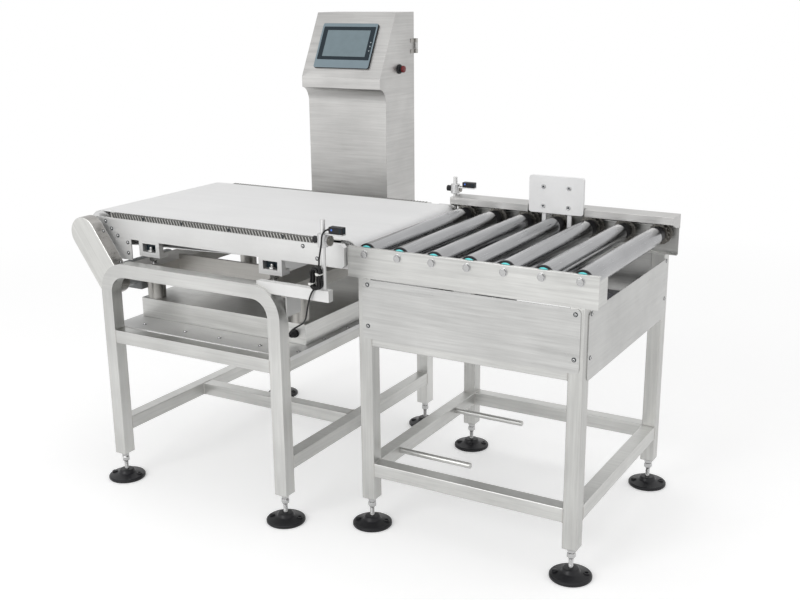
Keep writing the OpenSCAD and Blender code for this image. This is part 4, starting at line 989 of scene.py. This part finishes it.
@dataclass
class Outfeed:
    """The roller conveyor with its chains, guard and pusher."""

    look: Finishes
    soft: SoftEdges
    screws: Screws
    radius: float = 25.0
    bore: float = 6.05
    near: float = 13.0
    far: float = 510.0
    teeth: int = 14
    tooth_tip: float = 28.0
    sprocket_y: Pair = (558.0, 576.0)
    chain_links: int = 30
    chain_radius: float = 29.9
    plate_x: float = 305.0
    plate_y: float = 536.0
    plate_z: Pair = (776.0, 880.0)
    plate_half: float = 80.0
    plate_thick: float = 8.0

    def build(self) -> None:
        """Makes the outfeed's pieces."""
        look = self.look
        for i in range(ROLLERS):
            self.roller(i)
        self.soft.dress("roller_rails", look.frame, "steel_plate", 0.9)
        self.soft.dress("chain_guard", look.column, "steel_sheet", 0.7)
        self.soft.dress("pusher_cylinder", look.dark_alloy, "cylinder_alloy", 1.6)
        self.soft.dress("pusher_carriage", look.white, "pusher_white", 0.9, "pusher")
        self.soft.paint("roller_axles", look.bright)
        self.soft.paint("roller_motor", look.paint)
        self.chains()
        self.pusher()

    def roller(self, i: int) -> None:
        """Makes one roller with its rim, cap, hub and sprockets."""
        look, r, bore, near, far = self.look, self.radius, self.bore, self.near, self.far
        x = ROLLER_X + i * ROLLER_PITCH
        piece = Piece(f"roller_{i + 1}_dressed")
        tube = [(r - 2, near), (r - 0.5, near), (r, near + 0.5), (r, far - 0.5), (r - 0.5, far), (r - 2, far)]
        rim = [
            (bore, near - 5), (r - 1.2, near - 5), (r - 0.1, near - 3.9), (r - 0.1, near - 0.05),
            (bore, near - 0.05),
        ]
        cap = [
            (bore, near - 5.05), (19.8, near - 5.05), (20, near - 5.4), (19.2, near - 6), (9, near - 5.7),
            (8.4, near - 6), (bore, near - 6),
        ]
        hub = [(bore, 510.05), (22, 510.05), (22, 549), (20.5, 552), (bore, 552)]
        boss = [(bore, 552.1), (17.2, 552.1), (18, 553), (18, 584.3), (17.2, 585.1), (bore, 585.1)]
        for profile, sides, finish in (
            (tube, 72, look.roller), (rim, 64, look.black), (cap, 48, look.cyan), (hub, 48, look.black),
            (boss, 36, look.chain),
        ):
            piece.add(turned(profile, sides, ring=True), finish, facing((x, 0, ROLLER_Z), BACK))
        tip, root = self.tooth_tip, self.tooth_tip * 0.86
        tooth = ((root, 0.14), (tip * 0.97, 0.34), (tip, 0.42), (tip, 0.58), (tip * 0.97, 0.66), (root, 0.86))
        shape = [
            polar(out, math.tau * (k + share) / self.teeth) for k in range(self.teeth) for out, share in tooth
        ]
        for y in self.sprocket_y:
            upright = towards_back(y) @ Matrix.Translation((x, ROLLER_Z, 0))
            piece.add(plate(shape, 4.0, 0.3), look.chain, upright)
        piece.make(f"roller_{i + 1}", "roller_steel", f"roller_{i + 1}")

    def chains(self) -> None:
        """Makes the roller chains that join each roller to the next."""
        piece = Piece("roller_chains")
        turn = math.pi * self.chain_radius
        length = 2 * (ROLLER_PITCH + turn)
        side = plate(band_outline((0, 0), (length / self.chain_links, 0), 2.6, 5), 0.9, 0.15, 1)
        barrel = rod(1.5, 0, 4.6, 8)

        def spot(s: float) -> Pair:
            """Place in X and Z at a distance along the loop from the first axis."""
            s %= length
            if s < ROLLER_PITCH:
                return s, self.chain_radius
            if s < ROLLER_PITCH + turn:
                t = (s - ROLLER_PITCH) / self.chain_radius
                return ROLLER_PITCH + self.chain_radius * math.sin(t), self.chain_radius * math.cos(t)
            if s < 2 * ROLLER_PITCH + turn:
                return 2 * ROLLER_PITCH + turn - s, -self.chain_radius
            t = (s - 2 * ROLLER_PITCH - turn) / self.chain_radius
            return -self.chain_radius * math.sin(t), -self.chain_radius * math.cos(t)

        for i in range(ROLLERS - 1):
            y = self.sprocket_y[i % 2] + 2.0
            origin = Matrix.Translation((ROLLER_X + i * ROLLER_PITCH, 0, ROLLER_Z))
            for k in range(self.chain_links):
                a, b = (spot(n * length / self.chain_links) for n in (k, k + 1))
                here = Matrix.Translation((*a, 0))
                lean = Matrix.Rotation(math.atan2(b[1] - a[1], b[0] - a[0]), 4, "Z")
                gap = 2.2 if k % 2 else 1.3
                for y0 in (y - gap - 0.9, y + gap):
                    piece.add(side, self.look.chain, origin @ towards_back(y0) @ here @ lean)
                piece.add(barrel, self.look.chain, origin @ towards_back(y - 2.3) @ here)
        piece.make(ROOT_BODY, "chain_steel", "drive_chains")

    def pusher(self) -> None:
        """Makes the pusher's face with its four socket screws."""
        piece = Piece("pusher_face")
        x, half, (low, high) = self.plate_x, self.plate_half, self.plate_z
        shape = round_outline((x - half, low), (x + half, high), 8)
        face = plate(shape, self.plate_thick, 1.2, 3)
        piece.add(face, self.look.pusher, towards_back(self.plate_y))
        head = [(0, 0.1), (5.8, 0.1), (6.2, 0.6), (6.2, 1.6), (5.6, 2.2), (3.3, 2.2), (3.1, 0.9), (0, 0.9)]
        for dx in (-37, 37):
            for z in (849, 796):
                m = facing((x + dx, self.plate_y, z), FRONT)
                piece.add(turned(head, 28), self.screws.finish, m)
                # A dark floor in each socket: painted shade in the recess.
                piece.add(rod(2.8, 0.9, 1.0, 6), self.screws.dark, m)
        piece.make("pusher", "pusher_white", "pusher_plate")


@dataclass
class WeighDeck:
    """The belt deck on its load frame, with the drive."""

    look: Finishes
    soft: SoftEdges
    screws: Screws
    strip_x: Pair = (-829.0, -95.0)
    strip_z: Pair = (756.05, 770.0)
    strip_y: Pair = (1.4, 16.0)
    strip_screw_x: tuple[float, ...] = (-705.0, -568.0, -402.0, -228.0)
    strip_screw_z: float = 763.0
    rib_pitch: float = 10.0
    depth: float = 563.0
    cover_axis: Pair = (-884.0, 716.0)
    motor_axis: Pair = (-799.0, 592.0)
    cover_radius: float = 46.0
    cover_y: Pair = (-57.0, -19.0)
    cover_skin: float = 1.5
    cover_bend: float = 2.6
    cover_run: float = 150.0
    cover_screws: Pair = (0.16, 0.84)
    # Faces that lean less than this towards front or back take the cover's painted shade.
    painted_shade_slope: float = 0.5
    window_half: float = 23.4
    window_z: Pair = (670.1, 692.9)

    def build(self) -> None:
        """Makes the deck's pieces."""
        look, soft = self.look, self.soft
        for node, finish, width in (
            ("load_frame", look.dull, 1.2),
            ("deck_brackets", look.blasted, 1.0),
            ("deck_side_plates", look.blasted, 1.3),
            ("slider_bed", look.sheet, 0.8),
            ("deck_end_plates", look.blasted, 1.3),
        ):
            soft.dress(node, finish, "steel_plate", width)
        soft.dress("drive_motor", look.paint, "motor_paint", 2.0)
        soft.paint("weigh_belt", look.belt)
        soft.paint("drive_drum", look.bright)
        soft.paint("idler_roller", look.bright)
        soft.paint("motor_pulley", look.bright)
        soft.paint("timing_belt", look.rubber)
        self.strips()
        self.cover()
        self.bracket_bolts()

    def strips(self) -> None:
        """Makes the ribbed strips along both edges of the belt."""
        piece = Piece("ribbed_strips")
        (x0, x1), (y0, y1), (z0, z1) = self.strip_x, self.strip_y, self.strip_z
        count = int((x1 - x0 - 12) / self.rib_pitch)
        mirrored = Matrix.Translation((0, self.depth, 0)) @ Matrix.Scale(-1, 4, (0, 1, 0))
        head = turned([(0, 0), (4.4, 0), (4.4, 0.9), (3.6, 1.3), (2.2, 1.3), (2.0, 0.5), (0, 0.5)], 20)
        for side in (Matrix(), mirrored):
            piece.add(block((x0, y0, z0), (x1, y1, z1 - 0.8), 0.5), self.look.sheet, side)
            level = side @ Matrix.Translation((0, 0, z1 - 1.0))
            for k in range(count):
                x = x0 + 4 + k * self.rib_pitch
                front = [(x + 5.3, z0 + 0.9), (x + 11.1, z0 + 0.9), (x + 5.8, z1 - 0.6), (x, z1 - 0.6)]
                piece.add(plate(front, 1.7, 0.3, 1), self.look.rib, side @ towards_back(0.05))
                top = [(x + 0.2, 0.3), (x + 5.2, 0.3), (x + 8.2, 13.4), (x + 3.2, 13.4)]
                piece.add(plate(top, 1.0, 0.25, 1), self.look.rib, level)
            for x in self.strip_screw_x:
                piece.add(head, self.screws.dark, side @ facing((x, 1.2, self.strip_screw_z), FRONT))
        piece.make(ROOT_BODY, "steel_plate", "edge_strips")

    def cover(self) -> None:
        """Makes the brushed cover of the belt drive with its rolled edge and side screws; its side faces take
        a darker steel as painted shade.
        """
        piece = Piece("drive_cover_shell")
        r, skin, bend = self.cover_radius, self.cover_skin, self.cover_bend
        y0, y1 = self.cover_y
        turns = [math.pi * k / 12 for k in range(7)]
        rim = [(r - bend * (1 - math.cos(t)), y0 + bend * (1 - math.sin(t))) for t in turns]
        hollow = [(r - skin - 1, y0 + skin), (r - skin, y0 + skin + 1), (r - skin, y1), (r, y1)]
        shell = hollow_band(self.cover_axis, self.motor_axis, [*hollow, *rim])
        piece.add(shell, self.look.cover, towards_back(0))
        (x0, z0), (x1, z1) = self.cover_axis, self.motor_axis
        lean = Vector((x1 - x0, 0, z1 - z0)).normalized()
        out = Vector((-lean.z, 0, lean.x))
        for share in self.cover_screws:
            base = Vector((x0, y1 - 9, z0)) + lean * share * self.cover_run + out * r
            self.screws.button(piece, tuple(base), tuple(out), 4.2, 2.4)
        made = piece.make(ROOT_BODY, "steel_sheet", "drive_cover")
        # Shell faces that face neither front nor back take the darker steel: painted shade on the rim and
        # sides.
        made.data.materials.append(self.look.rim)
        for face in made.data.polygons:
            if face.material_index == 0 and abs(face.normal.y) < self.painted_shade_slope:
                face.material_index = len(made.data.materials) - 1

    def bracket_bolts(self) -> None:
        """Makes the adjusting bolts and the thin dark plates that stand as painted shadow seen through the
        brackets' windows.
        """
        piece = Piece("bracket_bolts")
        tip = [(0, 670.1), (5, 670.1), (5, 682), (4.2, 684), (0, 684.4)]
        half, (low, high) = self.window_half, self.window_z
        for x in BRACKET_X:
            for y, back in ((9, 16), (self.depth - 9, self.depth - 17.4)):
                self.screws.nut(piece, (x, y, low), 9.5, 7, 5.05, 15)
                piece.add(turned(tip, 20), self.screws.finish, Matrix.Translation((x, y, 0)))
                # A thin dark plate behind each window: painted shadow for the shaded inside seen through it.
                piece.add(block((x - half, back, low), (x + half, back + 1.4, high)), self.screws.dark)
        piece.make(ROOT_BODY, "fastener_steel")


@dataclass(frozen=True)
class Clamp:
    """Sizes and places of one clamp, its toothed joint and its sensor's shelf."""

    x: Pair
    post: float
    y: float
    z: Pair
    shelf_end: float
    shelf_z: float
    tooth_radius: float
    joint_thick: float


@dataclass
class SensorArms:
    """The two light sensors on their posts, the hand knobs and the coiled lead."""

    look: Finishes
    soft: SoftEdges
    screws: Screws
    lead_radius: float = 2.2
    hank_x: float = -58.0
    hank_z: float = 696.0
    hank_y: Pair = (-106.0, -91.0)
    hank_run: float = 28.0
    hank_outer: float = 15.0
    hank_layers: int = 4
    hank_loops: float = 6.375
    hank_climb: float = 0.5
    hank_step: float = 5.0
    hank_waist: float = 1.5
    rings: int = 24
    gland_place: Point = (-226.0, 38.95, 492.0)
    tie_half: Pair = (7.4, 10.6)
    tie_spots: tuple[Point, ...] = ((-47.2, 709.0, 0.15), (-68.8, 683.0, -0.12))
    sensor_boxes: tuple[tuple[float, ...], ...] = (
        (-26, 13, -78, 808.05, 825), (-7, 31, 594, 817.05, 832),
    )
    knobs: tuple[tuple[str, Point], ...] = (
        ("front_clamp_knob", (-62, -78, 788.5)), ("rear_clamp_knob", (-46, 594, 810.5)),
    )
    flutes: int = 18
    knob_radius: float = 8.5
    clamp_sizes: tuple[Clamp, ...] = (
        Clamp((-62, -34), -48, -78, (772, 805), 13, 805, 13, 11.4),
        Clamp((-46, -20), -33, 594, (797, 824), 31, 814, 9, 7.4),
    )
    clamp_teeth: int = 18
    upper: tuple[Point, ...] = (
        (-26, -78, 816), (-30, -78, 816), (-35, -81, 815), (-38, -87, 812), (-39, -94, 806),
        (-38, -99, 797), (-37, -102, 786), (-38, -104, 774), (-40, -105, 761), (-42, -106, 747),
        (-43, -106, 734), (-43, -106, 722), (-43, -106, 710),
    )
    lower: tuple[Point, ...] = (
        (-58, -91, 667), (-62, -91, 667), (-68, -92, 665), (-74, -93, 659), (-79, -94, 649),
        (-83, -95, 637), (-87, -95, 623), (-91, -94, 609), (-96, -90, 596), (-103, -83, 585),
        (-112, -73, 576), (-124, -60, 567), (-139, -44, 556), (-158, -28, 544), (-180, -18, 531),
        (-199, -10, 519), (-213, -4, 506), (-222, 3, 496), (-226, 10, 492), (-226, 17, 492),
    )

    def build(self) -> None:
        """Makes the lead first, and then the arms' other pieces."""
        gland = self.gland()
        self.lead()
        self.ties()
        self.soft.dress("sensor_mounts", self.look.blasted, "sensor_steel", 1.4)
        self.clamps()
        self.sensors()
        for body, place in self.knobs:
            self.knob(body, place)

    @staticmethod
    def smooth(points: Sequence[Point], steps: int) -> list[Vector]:
        """Draws a smooth line through given points.

        Args:
            points: The points.
            steps: Stretches between one point and the next.

        Returns:
            Points of the smooth line.
        """
        p = [Vector(q) for q in points]
        line = []
        for i in range(len(p) - 1):
            a, b, c, d = p[max(i - 1, 0)], p[i], p[i + 1], p[min(i + 2, len(p) - 1)]
            for k in range(steps):
                t = k / steps
                line.append(0.5 * (2 * b + t * (c - a) + t * t * (2 * a - 5 * b + 4 * c - d)
                                   + t**3 * (3 * b - a - 3 * c + d)))
        return line + [p[-1]]

    def hank_point(self, s: float) -> Vector:
        """The lead's centre after s loops, each down the right run, up the left one and over the top."""
        sweep = self.hank_loops / self.hank_layers
        turn = s % (2 * sweep)
        r = self.hank_outer - self.hank_step * min(turn, 2 * sweep - turn)
        crossings = ((s - k * sweep) / self.hank_climb + 0.5 for k in range(1, self.hank_layers))
        climbed = sum(min(max(share, 0), 1) for share in crossings)
        near, far = self.hank_y
        y = near + (far - near) / (self.hank_layers - 1) * climbed
        f = 4 * (s - math.floor(s))
        part, rest = int(f), f - int(f)
        run = self.hank_run * (0.5 - rest)
        waist = self.hank_waist * math.cos(math.pi * run / self.hank_run) ** 2
        side = 1 if part in (0, 1) else -1
        if part in (0, 2):
            return Vector((self.hank_x + side * (r - waist), y, self.hank_z + side * run))
        dx, dz = r * math.cos(math.pi * rest), self.hank_run / 2 + r * math.sin(math.pi * rest)
        return Vector((self.hank_x + side * dx, y, self.hank_z - side * dz))

    def lead(self) -> None:
        """Makes the sensor's lead as one curve from the sensor through the hank to the gland."""
        hank = [self.hank_point(i / self.rings) for i in range(int(self.hank_loops * self.rings) + 1)]
        route = self.smooth(self.upper, 2)[:-1] + hank[:-1] + self.smooth(self.lower, 2)
        curve = bpy.data.curves.new("sensor_lead_jacket", "CURVE")
        curve.dimensions = "3D"
        line = curve.splines.new("POLY")
        line.points.add(len(route) - 1)
        for point, place in zip(line.points, route):
            point.co = (*at(*place), 1.0)
        curve.bevel_depth = self.lead_radius * MM
        curve.bevel_resolution = 5
        curve.use_fill_caps = True
        curve.materials.append(self.look.jacket)
        made = bpy.data.objects.new("sensor_lead_jacket", curve)
        bpy.context.scene.collection.objects.link(made)
        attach(made, ROOT_BODY)
        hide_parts("sensor_lead", "lead_hank")

    def gland(self) -> bpy.types.Object:
        """Makes the cable gland on the load cell box."""
        piece = Piece("lead_gland")
        m = facing(self.gland_place, FRONT)
        body = [
            (2.25, 0), (12, 0), (12, 4), (9, 4), (9, 7), (9.4, 7), (9.4, 13.5), (9, 14.5), (8.4, 18.5),
            (6.5, 21.4), (4.2, 21.9), (2.25, 21.9),
        ]
        piece.add(turned(body, 32, ring=True), self.look.black, m)
        nut = [(9.05, 4.1), (10.3, 4.1), (11, 5), (11, 11), (10.3, 11.9), (9.05, 11.9)]
        piece.add(turned(nut, 6, ring=True), self.look.black, m)
        return piece.make(ROOT_BODY, "black_plastic", "cable_gland")

    def ties(self) -> None:
        """Makes the white ties that hold the hank's runs together."""
        piece = Piece("lead_ties")
        half_x, half_y = self.tie_half
        flat = round_outline((-half_x, -half_y), (half_x, half_y), 3.2, 4)
        lock = block((-3.4, -half_y - 3.0, -3), (3.4, -half_y + 0.4, 3), 0.6)
        for x, z, lean in self.tie_spots:
            m = Matrix.Translation((x, sum(self.hank_y) / 2, z)) @ Matrix.Rotation(lean, 4, "Y")
            for dz in (-0.9, 0.0, 0.9):
                loop = [m @ Vector((a, b, dz)) for a, b in [*flat, flat[0]]]
                piece.add(swept(loop, 0.65, 6), self.look.tie)
            piece.add(lock, self.look.tie, m)
        piece.make(ROOT_BODY, "black_plastic")

    def clamps(self) -> None:
        """Makes the clamps on both posts, each with its toothed joint and the sensor's shelf."""
        look, teeth, piece = self.look, self.clamp_teeth, Piece("post_clamps")
        for c in self.clamp_sizes:
            (x0, x1), (z0, z1), r = c.x, c.z, c.tooth_radius
            sleeve = [
                (6.05, z0 + 0.6), (6.6, z0), (12.6, z0), (13.4, z0 + 0.8), (13.4, z1 - 0.8), (12.6, z1),
                (6.6, z1), (6.05, z1 - 0.6),
            ]
            piece.add(turned(sleeve, 36, ring=True), look.alloy, Matrix.Translation((c.post, c.y, 0)))
            piece.add(block((x0 + 0.3, c.y - 6, z0 + 4), (c.post - 7, c.y + 6, z1 - 4), 1.2), look.alloy)
            half = c.joint_thick / 2
            joint = facing((x1 - 1.5, c.y, (z0 + z1) / 2), RIGHT)
            for step, finish in enumerate((look.alloy, look.chain)):
                rim = [
                    polar(r * (1 - 0.2 * ((k // 2 + step) % 2)), math.pi * k / (2 * teeth))
                    for k in range(4 * teeth)
                ]
                place = joint @ Matrix.Translation((0, 0, step * (half + 0.2)))
                piece.add(plate(rim, half - 0.2, 0.2, 1), finish, place)
            piece.add(rod(r * 0.7, 0.5, 2 * half - 0.5, 24), self.screws.dark, joint)
            shelf = block((x1, c.y - 10, c.shelf_z + 0.05), (c.shelf_end, c.y + 10, c.shelf_z + 3), 0.6)
            piece.add(shelf, look.alloy)
        piece.make(ROOT_BODY, "black_plastic", "sensor_clamps")

    def sensors(self) -> None:
        """Makes the two light sensors with their lenses and lead boots."""
        piece = Piece("sensor_bodies")
        for x0, x1, y, z0, z1 in self.sensor_boxes:
            piece.add(block((x0, y - 9, z0), (x1, y + 9, z1), 1.6), self.look.black)
            spot = [(0, 0), (2.6, 0), (2.4, 0.5), (0, 0.7)]
            piece.add(turned(spot, 20), self.look.lens, facing((x0 + 9, y - 8.9, z0 + 9.5), FRONT))
            eye = [(0, 0), (5.4, 0), (5.2, 0.6), (3.8, 0.9), (0, 0.5)]
            piece.add(turned(eye, 24), self.look.surround, facing((x1 - 0.1, y, (z0 + z1) / 2), RIGHT))
            piece.add(block((x1 - 9, y - 9.3, z0 + 3), (x1 - 3, y - 8.8, z1 - 3), 0.2), self.look.surround)
        boot = [(2.25, 0), (4.4, 0), (4.2, 1.5), (3.2, 6), (2.9, 7), (2.25, 7)]
        piece.add(turned(boot, 20, ring=True), self.look.black, facing(self.upper[0], LEFT))
        piece.make(ROOT_BODY, "black_plastic", "light_sensors")

    def knob(self, body: str, place: Point) -> None:
        """Makes one fluted hand knob, its head to the left."""
        flutes, r = self.flutes, self.knob_radius
        shape = [
            polar(r * (1 - 0.07 * (k % 4 in (0, 1))), math.tau * k / (4 * flutes)) for k in range(4 * flutes)
        ]
        piece = Piece(body + "_dressed")
        m = facing(place, LEFT)
        piece.add(plate(shape, 12.6, 0.7), self.look.black, m @ Matrix.Translation((0, 0, 0.1)))
        piece.add(turned([(0, 12.6), (5.6, 12.6), (5.2, 13.6), (0, 14)], 24), self.look.black, m)
        piece.add(rod(3, -5.5, 0.2, 20), self.screws.finish, m)
        piece.make(body, "black_plastic", body)


@dataclass
class Console:
    """The column with its touch panel, switch, rear door and hinges."""

    look: Finishes
    soft: SoftEdges
    screws: Screws
    right: float = -340.0
    lip_y: float = 682.0
    lip_z: float = 1108.0
    top: float = 1304.0
    slant_y: float = 784.0
    panel_low: Pair = (-252.0, 31.0)
    panel_high: Pair = (-48.0, 181.0)
    bezel_low: Pair = (-251.5, 31.5)
    bezel_high: Pair = (-48.5, 180.5)
    back_low: Pair = (-245.0, 38.0)
    back_high: Pair = (-55.0, 174.0)
    surround_low: Pair = (-245.0, 58.0)
    surround_high: Pair = (-53.0, 169.0)
    screen_low: Pair = (-228.0, 69.0)
    screen_high: Pair = (-70.0, 157.0)
    lamps_v: tuple[float, ...] = (117.0, 104.0, 89.0)
    lamp_u: float = -59.5
    switch_y: float = 800.0
    switch_z: float = 1132.0

    def build(self) -> None:
        """Makes the console's pieces."""
        self.soft.dress("column_shell", self.look.column, "steel_sheet", 2.2)
        self.soft.dress("column_door", self.look.column, "steel_sheet", 0.8, "column_door")
        self.soft.paint("door_hinges", self.look.dull)
        self.soft.dress("door_latch", self.look.bolt, "fastener_steel", 0.8, "door_latch")
        self.panel()
        self.switch()

    def panel(self) -> None:
        """Makes the touch panel: a black body whose edge shows as gasket and painted shade, bezel, dark
        surround, screen and three small lamps.
        """
        look = self.look
        slope = math.atan2(self.top - self.lip_z, self.slant_y - self.lip_y)
        m = Matrix.Translation((self.right, self.lip_y, self.lip_z)) @ Matrix.Rotation(slope, 4, "X")
        piece = Piece("operator_panel")
        # The first layer is a black body up to the bezel's face, so the panel's edge shows black: partly a
        # gasket, partly painted shade on the side.
        for low, high, corner, thick, edge, steps, finish, z in (
            (self.panel_low, self.panel_high, 7, 5.6, 0.5, 2, look.black, 0.05),
            (self.bezel_low, self.bezel_high, 6, 1.3, 0.6, 3, look.bezel, 5.6),
            (self.surround_low, self.surround_high, 2.5, 0.35, 0.12, 2, look.surround, 6.75),
            (self.screen_low, self.screen_high, 0.8, 0.2, 0.05, 2, look.screen, 7.05),
        ):
            layer = plate(round_outline(low, high, corner), thick, edge, steps)
            piece.add(layer, finish, m @ Matrix.Translation((0, 0, z)))
        lamp = turned([(0, 7.0), (1.9, 7.0), (1.7, 7.3), (0, 7.45)], 16)
        for v in self.lamps_v:
            piece.add(lamp, look.lamp, m @ Matrix.Translation((self.lamp_u, v, 0)))
        piece.add(block((*self.back_low, -34), (*self.back_high, 0.1), 2.0), look.black, m)
        piece.make(ROOT_BODY, "panel_plastic", "touch_panel")

    def switch(self) -> None:
        """Makes the switch's collar on the column and its red head, which presses in."""
        m = facing((self.right, self.switch_y, self.switch_z), RIGHT)
        collar = Piece("switch_ring")
        ring = [(11.05, 0.05), (15, 0.05), (15, 3.4), (14.2, 4.6), (12.4, 6), (11.05, 6)]
        collar.add(turned(ring, 40, ring=True), self.look.black, m)
        collar.make(ROOT_BODY, "black_plastic", "switch_collar")
        head = Piece("switch_head")
        cap = [(0, -10), (11, -10), (11, 12.2), (10.6, 12.6)]
        head.add(turned([*cap, (0, 12.6)], 40), self.look.black, m)
        red = [(0, 12.5), (10.4, 12.5), (10.8, 13), (10.8, 17.2), (9.8, 19.3), (7.6, 20), (0, 20)]
        head.add(turned(red, 40), self.look.red, m)
        head.make("power_switch", "switch_red", "power_switch")


# Studio


@dataclass(frozen=True)
class Lamp:
    """A soft square lamp, with its places and side in metres and its power in watts."""

    name: str
    place: Point
    target: Point
    side: float
    power: float

    def hang(self) -> None:
        """Hangs the lamp so that it faces its target."""
        data = bpy.data.lights.new(self.name, "AREA")
        data.shape, data.size, data.energy = "SQUARE", self.side, self.power
        made = bpy.data.objects.new(self.name, data)
        bpy.context.scene.collection.objects.link(made)
        made.matrix_world = facing(self.place, tuple(Vector(self.place) - Vector(self.target)))


@dataclass(frozen=True)
class Studio:
    """Camera, pale floor and soft lights."""

    eye: Point = (1411.5, -2214.9, 1369.0)
    pan: float = 0.52916
    tilt: float = 0.282065
    roll: float = -0.009798
    lens: float = 48.935
    shift: Pair = (0.00218, 0.00698)
    floor_half: float = 40.0
    floor_colour: Point = (0.86, 0.86, 0.86)
    floor_glow: float = 0.33
    fade: Pair = (1.3, 3.6)
    light_level: float = 0.62
    white: tuple[float, float, float, float] = (1.0, 1.0, 1.0, 1.0)
    sensor: float = 36.0
    view_end: float = 100.0
    lamps: tuple[Lamp, ...] = (
        Lamp("key_lamp", (-0.9, -4.6, 2.4), (0, 0, 0.7), 2.4, 82),
        Lamp("top_lamp", (0.4, 0.6, 4.2), (0, 0, 0.5), 3.0, 20),
        Lamp("right_lamp", (4.2, -0.4, 2.0), (0, 0, 0.6), 1.6, 8),
    )

    def camera(self) -> None:
        """Places the camera where the photograph was taken from."""
        c, s = math.cos(self.tilt), math.sin(self.tilt)
        forward = Vector((-math.sin(self.pan) * c, math.cos(self.pan) * c, -s))
        right = Vector((math.cos(self.pan), math.sin(self.pan), 0))
        up = right.cross(forward)
        c, s = math.cos(self.roll), math.sin(self.roll)
        axes = (c * right + s * up, c * up - s * right, -forward)
        data = bpy.data.cameras.new("photo_camera")
        data.lens, data.sensor_width = self.lens, self.sensor
        data.shift_x, data.shift_y = self.shift
        data.clip_end = self.view_end
        made = bpy.data.objects.new("photo_camera", data)
        bpy.context.scene.collection.objects.link(made)
        turn = Matrix(axes).transposed().to_4x4()
        made.matrix_world = Matrix.Translation(at(*self.eye)) @ turn
        bpy.context.scene.camera = made

    def world(self) -> None:
        """Lights the scene from a pale sky that shows as white."""
        world = bpy.data.worlds.new("pale_studio")
        bpy.context.scene.world = world
        g = Graph(world)
        light = g.node("Background", {"Color": self.white, "Strength": self.light_level})
        shown = g.node("Background", {"Color": self.white})
        mix = g.node("MixShader", {0: g.seen(), 1: light.outputs[0], 2: shown.outputs[0]})
        g.node("OutputWorld", {"Surface": mix.outputs[0]})

    def floor(self) -> None:
        """Lays the pale floor."""
        half = self.floor_half
        mesh = bpy.data.meshes.new("studio_floor")
        square = [(-half, -half, 0), (half, -half, 0), (half, half, 0), (-half, half, 0)]
        mesh.from_pydata(square, [], [(0, 1, 2, 3)])
        made = bpy.data.objects.new("studio_floor", mesh)
        bpy.context.scene.collection.objects.link(made)
        g = Graph(bpy.data.materials.new("pale_floor"))
        patch = g.spread(g.noise(g.place(), 1.5, 2.0), 0.0, 1.0)
        colour = g.blend(patch, shade(self.floor_colour, 0.995), shade(self.floor_colour, 1.005))
        distance = g.node("VectorMath", {0: g.place()}, operation="LENGTH").outputs["Value"]
        seen = g.seen()
        far = g.math("MULTIPLY", g.spread(distance, 0.0, 1.0, *self.fade), seen)
        lit = g.node("BsdfDiffuse", {"Color": colour})
        strength = g.math("MULTIPLY", seen, self.floor_glow)
        glow = g.node("Emission", {"Color": self.white, "Strength": strength})
        white = g.node("Emission", {"Color": self.white, "Strength": 1.0})
        near = g.node("AddShader", {0: lit.outputs[0], 1: glow.outputs[0]})
        mix = g.node("MixShader", {0: far, 1: near.outputs[0], 2: white.outputs[0]})
        g.node("OutputMaterial", {"Surface": mix.outputs[0]})
        mesh.materials.append(g.owner)

    def build(self) -> None:
        """Sets up the camera, the floor and the lights."""
        scene = bpy.context.scene
        scene.view_settings.view_transform = "Standard"
        self.camera()
        self.world()
        self.floor()
        for lamp in self.lamps:
            lamp.hang()


def corners(box: object) -> list:
    """The numbers of a box as plain lists."""
    return [[float(c) for c in corner] for corner in box]


def main() -> None:
    """Builds the studio and every piece in order."""
    logging.basicConfig(level=logging.INFO, format="%(name)s: %(message)s")
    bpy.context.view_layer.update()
    Studio().build()
    look = Finishes()
    soft = SoftEdges()
    screws = Screws(look.bolt, look.surround)
    parts: tuple[Callable, ...] = (SensorArms, Stands, WeighDeck, Outfeed, Console)
    for part in parts:
        part(look, soft, screws).build()
        log.info("%s is dressed", part.__name__)


if __name__ == "__main__":
    main()
